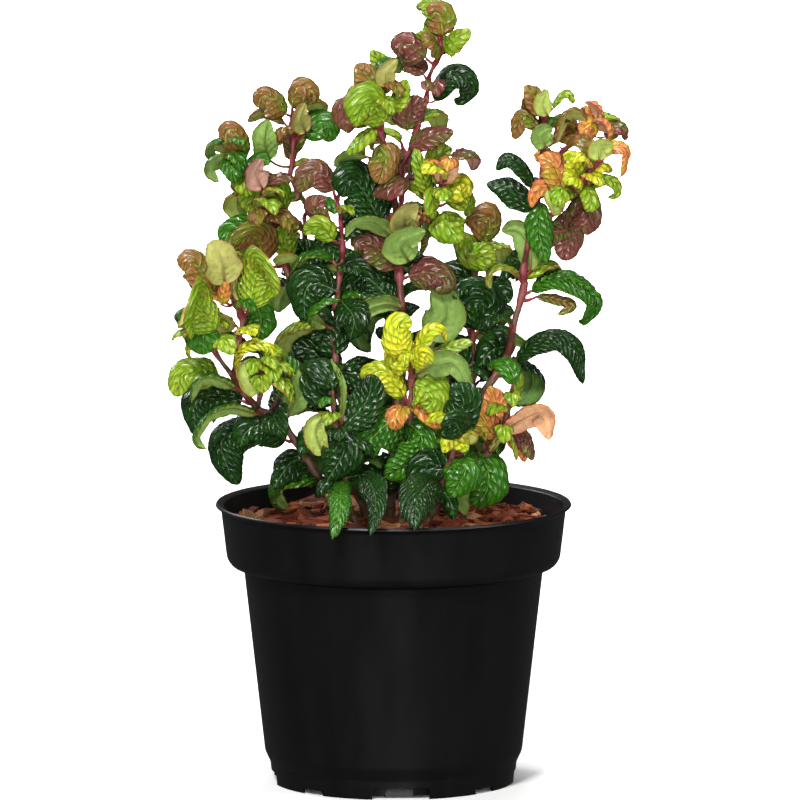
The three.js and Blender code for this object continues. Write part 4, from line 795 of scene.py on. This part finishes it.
def addStalk(parts, leaf, number, tone):
    # The stalk from inside the stem, and the midrib.
    rings, bare = stalk["rings"], stalk["bare"]
    mesh, ring, turn = drumTemplate(stalk["sides"], rings, 2)
    places, _, sides, normals = leaf["frames"]
    s = np.concatenate([np.zeros(bare), np.linspace(0.02, 0.93, rings - bare)])
    line, side, normal = blended(places, s), units(blended(sides, s)), units(blended(normals, s))
    share = np.linspace(0.15, 0.98, bare)[:, None]
    sag = np.sin(math.pi * share) * stalk["sag"] * np.linalg.norm(places[0] - leaf["point"])
    line[:bare] = leaf["point"] + (places[0] - leaf["point"]) * share - np.array([0, 0, 1.0]) * sag
    radius = np.concatenate([np.linspace(*stalk["bareRadius"], bare),
                             np.linspace(*stalk["ribRadius"], rings - bare)])
    radius = radius * min(1.0, 0.5 + leaf["long"] / 60)
    line[bare:] -= normal[bare:] * (blade["groove"] + 0.55 * radius[bare:, None])
    co = line[ring] + side[ring] * (radius[ring] * np.cos(turn))[:, None] \
        + normal[ring] * (radius[ring] * np.sin(turn))[:, None]
    warm = leaf["tone"] in "YOBML"
    stalkTint = colourRows(stalk["warm" if warm or number % 3 == 0 else "cool"], len(ring))
    ribTint = colourRows(tone["under"], len(ring)) * 1.12
    fade = softStep(bare - 1.5, bare + 5, ring.astype(float))[:, None]
    tint = stalkTint + (ribTint - stalkTint) * fade
    weave = np.stack([turn, ring * 2.0, np.full(len(ring), float(number))], axis=1)
    parts.add(mesh, co, tint, tint, weave)


# Bark turns from young to old over the two heights, and is pinker near the knots.
stem = {"sides": 12, "step": 2.2, "slim": 0.8, "knot": 0.5, "knotLong": 2.4, "pinkLong": 3.5,
        "old": "#5e4a36", "young": "#52221d", "pink": "#822a36", "heights": (150, 330)}


def addStem(parts, axis, number, knots):
    # A woody stem of round section that swells where leaves grow from it.
    line = smoothLine(axis["points"], 10)
    along = lengthsAlong(line)
    rings = int(along[-1] / stem["step"]) + 2
    at = np.linspace(0, along[-1], rings)
    middle = np.array([placeOn(line, along, a)[0] for a in at])
    ahead = units(np.array([placeOn(line, along, max(a, 0.01))[1] for a in at]))
    first = units(np.tile([1.0, 0, 0], (rings, 1)) - ahead * ahead[:, :1])
    second = np.cross(ahead, first)
    mesh, ring, turn = drumTemplate(stem["sides"], rings, 2)
    radius = mix(axis["radius"][0], axis["radius"][1], at / along[-1]) * mix(1, stem["slim"], at / along[-1])
    for knot in knots:
        near = np.linalg.norm(middle - knot, axis=1)
        radius = radius + stem["knot"] * np.exp(-(near / stem["knotLong"]) ** 2) * (near < 8)
    radius[-1] *= 0.5
    rough = 1 + 0.05 * np.sin(turn * 3 + ring * 0.7 + number) + 0.03 * np.sin(turn * 5 - ring * 1.9)
    spread = (radius[ring] * rough)[:, None]
    co = middle[ring] + first[ring] * np.cos(turn)[:, None] * spread \
        + second[ring] * np.sin(turn)[:, None] * spread
    age = softStep(*stem["heights"], middle[ring][:, 2])[:, None]
    old, young, pink = (colourRows(stem[key], len(ring)) for key in ("old", "young", "pink"))
    tint = old + (young - old) * age
    knotShare = np.zeros(rings)
    for knot in knots:
        near = np.linalg.norm(middle - knot, axis=1)
        knotShare = np.maximum(knotShare, np.exp(-(near / stem["pinkLong"]) ** 2))
    tint = tint + (pink - tint) * (knotShare[ring] * (0.25 + 0.45 * age[:, 0]))[:, None]
    weave = np.stack([turn * radius[ring], at[ring], np.full(len(ring), float(number))], axis=1)
    parts.add(mesh, co, tint, tint, weave)


def leafGround(tree, start, height):
    # What the two faces of a leaf share: its tint, the count of side veins, mm from the midrib, the place on
    # the blade in mm, and lines for the side veins, from a share of the way between two up to a height.
    tint = addNode(tree, "Attribute", attribute_name="tint")["Color"]
    weave = addNode(tree, "Attribute", attribute_name="weave")["Vector"]
    parts = addNode(tree, "SeparateXYZ", {"Vector": weave})
    flat = addNode(tree, "CombineXYZ", {"X": parts["X"], "Y": parts["Y"]})[0]
    share = addNode(tree, "Math", {0: parts["Z"]}, operation="FRACT")[0]
    apart = addNode(tree, "Math", {0: share, 1: 0.5}, operation="SUBTRACT")[0]
    apart = addNode(tree, "Math", {0: apart}, operation="ABSOLUTE")[0]
    sideVein = addNode(tree, "MapRange", {"Value": apart, "From Min": start, "From Max": 0.49, "To Min": 0.0,
                                          "To Max": height}, interpolation_type="SMOOTHSTEP")[0]
    return tint, parts["Z"], parts["X"], flat, sideVein


def leafFace():
    # Waxy evergreen leaf, upper side: grown cuticle, a clear gloss over pigment that pales along the veins.
    material, tree = newMaterial("waxyLeafUpperFace")
    tint, row, across, flat, sideVein = leafGround(tree, 0.44, 0.3)
    veinTint = addNode(tree, "Attribute", attribute_name="veinTint")["Color"]
    # midrib line 0.5 mm wide, and side veins on the rows that the puckers follow
    out = addNode(tree, "Math", {0: across}, operation="ABSOLUTE")[0]
    midrib = addNode(tree, "MapRange", {"Value": out, "From Min": 0.15, "From Max": 0.5, "To Min": 0.8,
                                        "To Max": 0.0}, interpolation_type="SMOOTHSTEP")[0]
    veins = addNode(tree, "Math", {0: midrib, 1: sideVein}, operation="MAXIMUM")[0]
    # the same puckers as the mesh has, shifted by half of one in every other row
    band = addNode(tree, "Math", {0: row}, operation="FLOOR")[0]
    shift = addNode(tree, "Math", {0: band, 1: 0.5}, operation="MULTIPLY")[0]
    cell = addNode(tree, "Math", {0: out, 1: 1 / blade["cellWidth"], 2: shift}, operation="MULTIPLY_ADD")[0]
    domes = []
    for phase in (row, cell):
        wave = addNode(tree, "Math", {0: phase, 1: math.pi}, operation="MULTIPLY")[0]
        for operation in ("SINE", "ABSOLUTE", "POWER"):
            wave = addNode(tree, "Math", {0: wave, 1: blade["dome"]}, operation=operation)[0]
        domes.append(wave)
    raised = addNode(tree, "Math", {0: domes[1], 1: 1 - blade["ridge"], 2: blade["ridge"]},
                     operation="MULTIPLY_ADD")[0]
    pillow = addNode(tree, "Math", {0: domes[0], 1: raised}, operation="MULTIPLY")[0]
    mottle = addNode(tree, "TexNoise", {"Vector": flat, "Scale": 0.35, "Detail": 3.0},
                     noise_dimensions="2D")[0]
    shade = addNode(tree, "MapRange", {"Value": mottle, "From Min": 0.3, "From Max": 0.7, "To Min": 0.78,
                                       "To Max": 1.18})[0]
    # painted shade: the colour is darkened to 0.55 of its tint in the valleys between the puckers, and
    # mottled by the noise
    valleyShade = addNode(tree, "MapRange", {"Value": pillow, "From Min": 0.0, "From Max": 0.55, "To Min": 0.55,
                                      "To Max": 1.0})[0]
    deep = addNode(tree, "Math", {0: shade, 1: valleyShade}, operation="MULTIPLY")[0]
    shaded = addNode(tree, "VectorMath", {0: tint, "Scale": deep}, operation="SCALE")[0]
    colour = addNode(tree, "Mix", {0: veins, 6: shaded, 7: veinTint}, data_type="RGBA")[2]
    wax = addNode(tree, "TexNoise", {"Vector": flat, "Scale": 1.6, "Detail": 2.0}, noise_dimensions="2D")[0]
    gloss = addNode(tree, "MapRange", {"Value": wax, "From Min": 0.3, "From Max": 0.7, "To Min": 0.22,
                                       "To Max": 0.34})[0]
    bump = addNode(tree, "Bump", {"Strength": 1.0, "Distance": 0.001, "Height": pillow})[0]
    shader = addNode(tree, "BsdfPrincipled", {"IOR": 1.46, "Specular IOR Level": 0.5, "Base Color": colour,
                                              "Roughness": gloss, "Normal": bump})
    addNode(tree, "OutputMaterial", {"Surface": shader[0]})
    return material


def leafUnder():
    # Leaf underside: bare of wax, so matt and pale, with its net of veins raised.
    material, tree = newMaterial("mattLeafUnderside")
    tint, _, _, flat, sideVein = leafGround(tree, 0.42, 1.0)
    # side veins stand out as fine ridges, with a net about 1.2 mm apart between them
    net = addNode(tree, "TexVoronoi", {"Vector": flat, "Scale": 0.8}, feature="DISTANCE_TO_EDGE",
                  voronoi_dimensions="2D")[0]
    netVein = addNode(tree, "MapRange", {"Value": net, "From Min": 0.0, "From Max": 0.12, "To Min": 0.45,
                                         "To Max": 0.0}, interpolation_type="SMOOTHSTEP")[0]
    vein = addNode(tree, "Math", {0: sideVein, 1: netVein}, operation="MAXIMUM")[0]
    mottle = addNode(tree, "TexNoise", {"Vector": flat, "Scale": 0.3, "Detail": 3.0},
                     noise_dimensions="2D")[0]
    shade = addNode(tree, "MapRange", {"Value": mottle, "From Min": 0.3, "From Max": 0.7, "To Min": 0.8,
                                       "To Max": 1.08})[0]
    lit = addNode(tree, "Math", {0: vein, 1: 0.22, 2: shade}, operation="MULTIPLY_ADD")[0]
    colour = addNode(tree, "VectorMath", {0: tint, "Scale": lit}, operation="SCALE")[0]
    bump = addNode(tree, "Bump", {"Strength": 0.5, "Distance": 0.0003, "Height": vein})[0]
    shader = addNode(tree, "BsdfPrincipled", {"IOR": 1.42, "Specular IOR Level": 0.35, "Roughness": 0.55,
                                              "Base Color": colour, "Normal": bump})
    addNode(tree, "OutputMaterial", {"Surface": shader[0]})
    return material


def stemBark():
    # Young bark of a woody shrub: smooth, with cracks along it every 0.8 mm or so and small pale pores.
    material, tree = newMaterial("youngStemBark")
    tint = addNode(tree, "Attribute", attribute_name="tint")["Color"]
    weave = addNode(tree, "Attribute", attribute_name="weave")["Vector"]
    drawn = addNode(tree, "Mapping", {"Vector": weave, "Scale": (1.3, 0.22, 1.0)})[0]
    grain = addNode(tree, "TexNoise", {"Vector": drawn, "Scale": 1.2, "Detail": 4.0})[0]
    pores = addNode(tree, "TexVoronoi", {"Vector": weave, "Scale": 0.45})[0]
    pore = addNode(tree, "MapRange", {"Value": pores, "From Min": 0.08, "From Max": 0.2, "To Min": 0.35,
                                      "To Max": 0.0})[0]
    shade = addNode(tree, "MapRange", {"Value": grain, "From Min": 0.3, "From Max": 0.7, "To Min": 0.65,
                                       "To Max": 1.2})[0]
    shaded = addNode(tree, "VectorMath", {0: tint, "Scale": shade}, operation="SCALE")[0]
    colour = addNode(tree, "Mix", {0: pore, 6: shaded, 7: linear("#a08468")}, data_type="RGBA")[2]
    bump = addNode(tree, "Bump", {"Strength": 0.5, "Distance": 0.0003, "Height": grain})[0]
    shader = addNode(tree, "BsdfPrincipled", {"IOR": 1.45, "Specular IOR Level": 0.35, "Roughness": 0.42,
                                              "Base Color": colour, "Normal": bump})
    addNode(tree, "OutputMaterial", {"Surface": shader[0]})
    return material


# The pot's half outline is the CAD's: radius, height and the size of the rounding there.
pot = {
    "outline": [(0, 6.4, 0), (51.5, 6.4, 0), (51.5, 0, 0), (53, 0, 0), (53, 6.4, 0), (63.3, 6.4, 0),
                (63.3, 0, 0.3), (64.8, 0, 0.4), (65.8, 10.4, 0.8), (68.7, 16.6, 1.2), (79.9, 115, 0.6),
                (86.5, 116.8, 1.8), (88.9, 120.4, 1.6), (92, 146.6, 0.8), (95, 148.4, 0.5), (94.1, 150, 0.6),
                (90.5, 148.4, 0.5), (87.4, 121, 0.8), (78.4, 117.6, 0.8), (67.2, 16.6, 0.6), (64.3, 7.9, 0.3),
                (0, 7.9, 0)],
    "steps": 144, "turn": 3.5,
    # a cut's length, depth and two heights, and how far out its middle is
    "notch": (30.4, 8, -4, 6.4, 63.8), "ringNotch": (15, 8, -4, 6.4, 52),
    "smallNotch": (14, 8, -4, 2.8, 62.8), "drain": (16, 5.2, 6.4, 11.4, 58.15), "notchRound": 1.5,
    "sharpAngle": 38,
}


def pointOnArc(a, b, c, size):
    # Three points that round the corner at b.
    a, b, c = (np.array(p[:2], dtype=float) for p in (a, b, c))
    start, end = b + unit(a - b) * size, b + unit(c - b) * size
    return [start, 0.25 * start + 0.5 * b + 0.25 * end, end]


def makePot(material):
    # Turned from its rounded outline, then notched at the foot.
    outline = pot["outline"]
    points = []
    for i, (radius, height, size) in enumerate(outline):
        if size and 0 < i < len(outline) - 1:
            points += pointOnArc(outline[i - 1], outline[i], outline[i + 1], size)
        else:
            points.append((radius, height))
    bm = bmesh.new()
    verts = [bm.verts.new((r * mm, 0, z * mm)) for r, z in points]
    edges = [bm.edges.new(pair) for pair in zip(verts, verts[1:])]
    bmesh.ops.spin(bm, geom=verts + edges, cent=(0, 0, 0), axis=(0, 0, 1), angle=2 * math.pi,
                   steps=pot["steps"], use_merge=True)
    bmesh.ops.remove_doubles(bm, verts=bm.verts[:], dist=1e-6)
    bmesh.ops.recalc_face_normals(bm, faces=bm.faces[:])
    piece = newObject("nursery_pot", newMesh("nursery_pot", bm))
    cutters = bmesh.new()
    for i in range(8):
        turn = Matrix.Rotation(math.radians(45 * i + pot["turn"]), 4, "Z")
        for key in ["smallNotch"] if i % 2 else ["notch", "ringNotch", "drain"]:
            long, deep, low, high, out = pot[key]
            made = bmesh.ops.create_cube(cutters, size=1)["verts"]
            scale = Matrix.Diagonal((long * mm, deep * mm, (high - low) * mm, 1))
            middle = Matrix.Translation((0, -out * mm, (low + high) / 2 * mm))
            bmesh.ops.transform(cutters, matrix=turn @ middle @ scale, verts=made)
            if key == "notch":
                upright = [e for v in made for e in v.link_edges
                           if abs((e.verts[0].co - e.verts[1].co).z) < 1e-5 and e.verts[0].co.z > 0
                           and abs((e.verts[0].co.xy - e.verts[1].co.xy).length - deep * mm) < 1e-5]
                bmesh.ops.bevel(cutters, geom=list(set(upright)), offset=pot["notchRound"] * mm, segments=3,
                                profile=0.5, affect="EDGES", material=-1)
    bmesh.ops.recalc_face_normals(cutters, faces=cutters.faces[:])
    cutter = newObject("notchCutters", newMesh("notchCutters", cutters))
    boolean = piece.modifiers.new("notches", "BOOLEAN")
    boolean.operation, boolean.solver, boolean.object = "DIFFERENCE", "EXACT", cutter
    boolean.use_self = True
    bpy.context.view_layer.update()
    cut = bpy.data.meshes.new_from_object(piece.evaluated_get(bpy.context.evaluated_depsgraph_get()))
    piece.modifiers.clear()
    piece.data = cut
    bpy.data.objects.remove(cutter)
    for polygon in cut.polygons:
        polygon.use_smooth = True
    cut.materials.clear()
    cut.materials.append(material)
    cut.set_sharp_from_angle(angle=math.radians(pot["sharpAngle"]))
    return piece


def potPlastic():
    # Black polypropylene, injection moulded in a spark-eroded tool: satin, with fine grain and scuffs.
    material, tree = newMaterial("mouldedBlackPolypropylene")
    place = addNode(tree, "TexCoord")["Object"]
    grain = addNode(tree, "TexNoise", {"Vector": place, "Scale": 900.0, "Detail": 2.0})[0]
    drawn = addNode(tree, "Mapping", {"Vector": place, "Scale": (60.0, 60.0, 9.0)})[0]
    scuffs = addNode(tree, "TexNoise", {"Vector": drawn, "Scale": 1.0, "Detail": 5.0, "Roughness": 0.6})[0]
    colour = addNode(tree, "ValToRGB", {"Fac": scuffs}, [(0.35, "#050506"), (0.65, "#080809")])[0]
    rough = addNode(tree, "MapRange", {"Value": scuffs, "From Min": 0.35, "From Max": 0.65, "To Min": 0.36,
                                       "To Max": 0.44})[0]
    bump = addNode(tree, "Bump", {"Strength": 0.12, "Distance": 0.0001, "Height": grain})[0]
    shader = addNode(tree, "BsdfPrincipled", {"IOR": 1.4, "Base Color": colour, "Roughness": rough,
                                              "Normal": bump})
    addNode(tree, "OutputMaterial", {"Surface": shader[0]})
    return material


def pottingSoil():
    # Peat-free potting soil: damp crumbs of 1 to 3 mm, with no shine.
    material, tree = newMaterial("dampPottingSoil")
    place = addNode(tree, "TexCoord")["Object"]
    crumbs = addNode(tree, "TexVoronoi", {"Vector": place, "Scale": 420.0})[0]
    noise = addNode(tree, "TexNoise", {"Vector": place, "Scale": 150.0, "Detail": 6.0})[0]
    colour = addNode(tree, "ValToRGB", {"Fac": noise},
                     [(0.3, "#1b120c"), (0.55, "#3a281b"), (0.75, "#5a4330")])[0]
    bump = addNode(tree, "Bump", {"Strength": 0.9, "Distance": 0.0012, "Height": crumbs})[0]
    shader = addNode(tree, "BsdfPrincipled", {"Roughness": 0.92, "IOR": 1.4, "Base Color": colour,
                                              "Normal": bump})
    addNode(tree, "OutputMaterial", {"Surface": shader[0]})
    return material


# Chips near the rim lie along it. Angles are in degrees, and rough and taper are shares of a chip's size.
mulch = {"chips": 430, "reach": 86.5, "low": 135.2, "high": 140.6, "long": (7, 19), "wide": (4, 9),
         "thick": (1.6, 4), "rough": 0.34, "taper": 0.45, "bow": 0.02, "tilt": (50, 34), "rimTurn": 30,
         "wander": 25, "rimWide": 11, "rimRoom": 1.2, "bedRadius": (86.4, 86.4, 86.0),
         "bedHeight": (133.35, 135.4, 135.9), "bedColour": "#2a1610",
         "colours": ["#8e4423", "#a3522a", "#6f3019", "#b8683a", "#57261a", "#9a4c33", "#c98a5c", "#7c3a22"]}


def barkChip():
    # Composted pine bark: layers of cork that split along the grain, orange-brown, darker on old faces.
    material, tree = newMaterial("compostedPineBark")
    tint = addNode(tree, "Attribute", attribute_name="tint")["Color"]
    weave = addNode(tree, "Attribute", attribute_name="weave")["Vector"]
    layers = addNode(tree, "Mapping", {"Vector": weave, "Scale": (0.35, 1.6, 2.2)})[0]
    grain = addNode(tree, "TexNoise", {"Vector": layers, "Scale": 1.0, "Detail": 5.0, "Roughness": 0.65})[0]
    shade = addNode(tree, "MapRange", {"Value": grain, "From Min": 0.3, "From Max": 0.7, "To Min": 0.45,
                                       "To Max": 1.35})[0]
    colour = addNode(tree, "VectorMath", {0: tint, "Scale": shade}, operation="SCALE")[0]
    bump = addNode(tree, "Bump", {"Strength": 0.8, "Distance": 0.0006, "Height": grain})[0]
    shader = addNode(tree, "BsdfPrincipled", {"Roughness": 0.8, "IOR": 1.42, "Base Color": colour,
                                              "Normal": bump})
    addNode(tree, "OutputMaterial", {"Surface": shader[0]})
    return material


def chipTemplate():
    # A chip as a cube cut once each way, so that its edges can split and its ends taper.
    bm = bmesh.new()
    bmesh.ops.create_cube(bm, size=2)
    bmesh.ops.subdivide_edges(bm, edges=bm.edges[:], cuts=1, use_grid_fill=True)
    return newTemplate("chipTemplate", bm)


def makeMulch(material):
    # Chips that lie every way on a bed, spread by the golden angle.
    parts = Parts()
    bed, ring, turn = drumTemplate(60, 3, 0)
    radius = np.array(mulch["bedRadius"])[ring]
    co = np.stack([radius * np.cos(turn), radius * np.sin(turn), np.array(mulch["bedHeight"])[ring]], axis=1)
    tint = colourRows(mulch["bedColour"], len(co))
    parts.add(bed, co, tint, tint, co)
    mesh, cube = chipTemplate()
    draw = draws(5)
    for i in range(mulch["chips"]):
        out = mulch["reach"] * math.sqrt((i + 0.5) / mulch["chips"])
        around = layout["goldenTurn"] * i + mulch["wander"] * (draw() - 0.5)
        size = [mix(*mulch[key], draw() ** power) / 2 for key, power in
                (("long", 1.4), ("wide", 1.2), ("thick", 1.0))]
        jitter = np.array([[draw() - 0.5 for _ in range(3)] for _ in range(len(cube))])
        taper = 1 - mulch["taper"] * draw() * np.abs(cube[:, :1])
        local = (cube * np.hstack([np.ones_like(taper), taper, taper]) + mulch["rough"] * jitter) * size
        local[:, 2] += mulch["bow"] * draw() * local[:, 0] ** 2
        edge = out > mulch["reach"] - mulch["rimWide"]
        tilt = Matrix.Rotation(math.radians(mulch["tilt"][0] * (draw() - 0.5)), 3, "X") \
            @ Matrix.Rotation(math.radians(mulch["tilt"][1] * (draw() - 0.5)), 3, "Y")
        spin = around + 90 + mulch["rimTurn"] * (draw() - 0.5) if edge else 360 * draw()
        place = min(out, mulch["reach"] - size[1] - mulch["rimRoom"]) if edge else out
        turned = local @ np.array(Matrix.Rotation(math.radians(spin), 3, "Z") @ tilt).T
        height = mix(mulch["low"], mulch["high"], draw())
        co = turned + [place * math.cos(math.radians(around)), place * math.sin(math.radians(around)), height]
        colour = mulch["colours"][int(draw() * len(mulch["colours"]))]
        tint = colourRows(colour, len(co)) * (0.75 + 0.5 * draw())
        parts.add(mesh, co, tint, tint, local + 40.0 * i)
    return parts.finish("bark_chips", [material])


print("making materials")
plastic, soilMaterial, barkMaterial = potPlastic(), pottingSoil(), barkChip()
leafMaterials = [leafFace(), leafUnder(), stemBark()]

print("making the pot and its filling")
potPiece = makePot(plastic)
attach(potPiece, "root")
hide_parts("pot")
chips = makeMulch(barkMaterial)
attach(chips, "root")
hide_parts("bark_mulch")
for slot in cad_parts["soil"].material_slots:
    slot.material = soilMaterial

print("growing the shoots")
for shoot in shoots:
    parts = Parts()
    leaves = seenLeaves(shoot) + grownLeaves(shoot)
    leaves += crowdedLeaves(shoot, leaves)
    knots = [leaf["point"] for leaf in leaves]
    for i, axis in enumerate(shoot["axes"]):
        addStem(parts, axis, shoot["seed"] + i, knots)
    for i, leaf in enumerate(leaves):
        addLeaf(parts, leaf, shoot["seed"] % 10 + i)
    piece = parts.finish(shoot["node"] + "_foliage", leafMaterials)
    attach(piece, "root")
    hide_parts(shoot["node"])
    print(piece.name, len(leaves), "leaves", len(piece.data.polygons) * 2, "triangles or so")
for template in templates.values():
    bpy.data.meshes.remove(template[0])

print("setting up the studio")
studio = {"floor": 14.0, "target": (0.00346, 0.0, 0.2047), "distance": 6.0, "elevation": 8.0, "lens": 507.3,
          "paper": "#f4f4f3", "glow": 0.08}
bm = bmesh.new()
bmesh.ops.create_grid(bm, x_segments=2, y_segments=2, size=studio["floor"])
floor = newObject("studioFloor", newMesh("studioFloor", bm))
floorMaterial, tree = newMaterial("paleStudioPaper")
shader = addNode(tree, "BsdfPrincipled", {"Base Color": linear(studio["paper"]), "Roughness": 0.9})
addNode(tree, "OutputMaterial", {"Surface": shader[0]})
floor.data.materials.append(floorMaterial)
floor.visible_glossy = False  # the studio is dark but for its lamps, so dark leaves and plastic stay dark

world = bpy.data.worlds.new("studioWorld")
bpy.context.scene.world = world
world.use_nodes = True
background = world.node_tree.nodes["Background"].inputs
background["Color"].default_value = linear("#ffffff")
background["Strength"].default_value = studio["glow"]
bpy.context.scene.view_settings.view_transform = "Standard"

plant = (0, 0, 0.25)  # where the lamps aim, but for the one that lights the floor behind
for name, place, size, power, aim, spread in (
        ("keyBox", (-1.3, -4.2, 3.9), (1.2, 1.0), 360, plant, 180),
        ("frontBox", (0.3, -5.2, 0.9), (0.9, 0.9), 120, plant, 180),
        ("sideBox", (3.8, -2.2, 2.4), (0.9, 1.4), 90, plant, 180),
        ("topBox", (0.2, 0.4, 4.4), (1.2, 1.0), 130, plant, 180),
        ("rimBox", (-3.0, 2.8, 2.8), (1.0, 1.2), 90, plant, 180),
        ("backdropBox", (0, 4.2, 4.6), (3.4, 2.4), 420, (0, 4.2, 0), 80)):
    light = bpy.data.lights.new(name, "AREA")
    light.shape, light.energy, light.spread = "RECTANGLE", power, math.radians(spread)
    light.size, light.size_y = size
    lamp = newObject(name, light)
    lamp.location = place
    lamp.rotation_euler = (Vector(aim) - Vector(place)).to_track_quat("-Z", "Y").to_euler()

camera = newObject("camera", bpy.data.cameras.new("camera"))
bpy.context.scene.camera = camera
target = Vector(studio["target"])
tilt = math.radians(studio["elevation"])
camera.location = target + Vector((0, -math.cos(tilt), math.sin(tilt))) * studio["distance"]
camera.rotation_euler = (target - camera.location).to_track_quat("-Z", "Y").to_euler()
camera.data.lens = studio["lens"]
camera.data.sensor_width = 36
camera.data.clip_end = 50
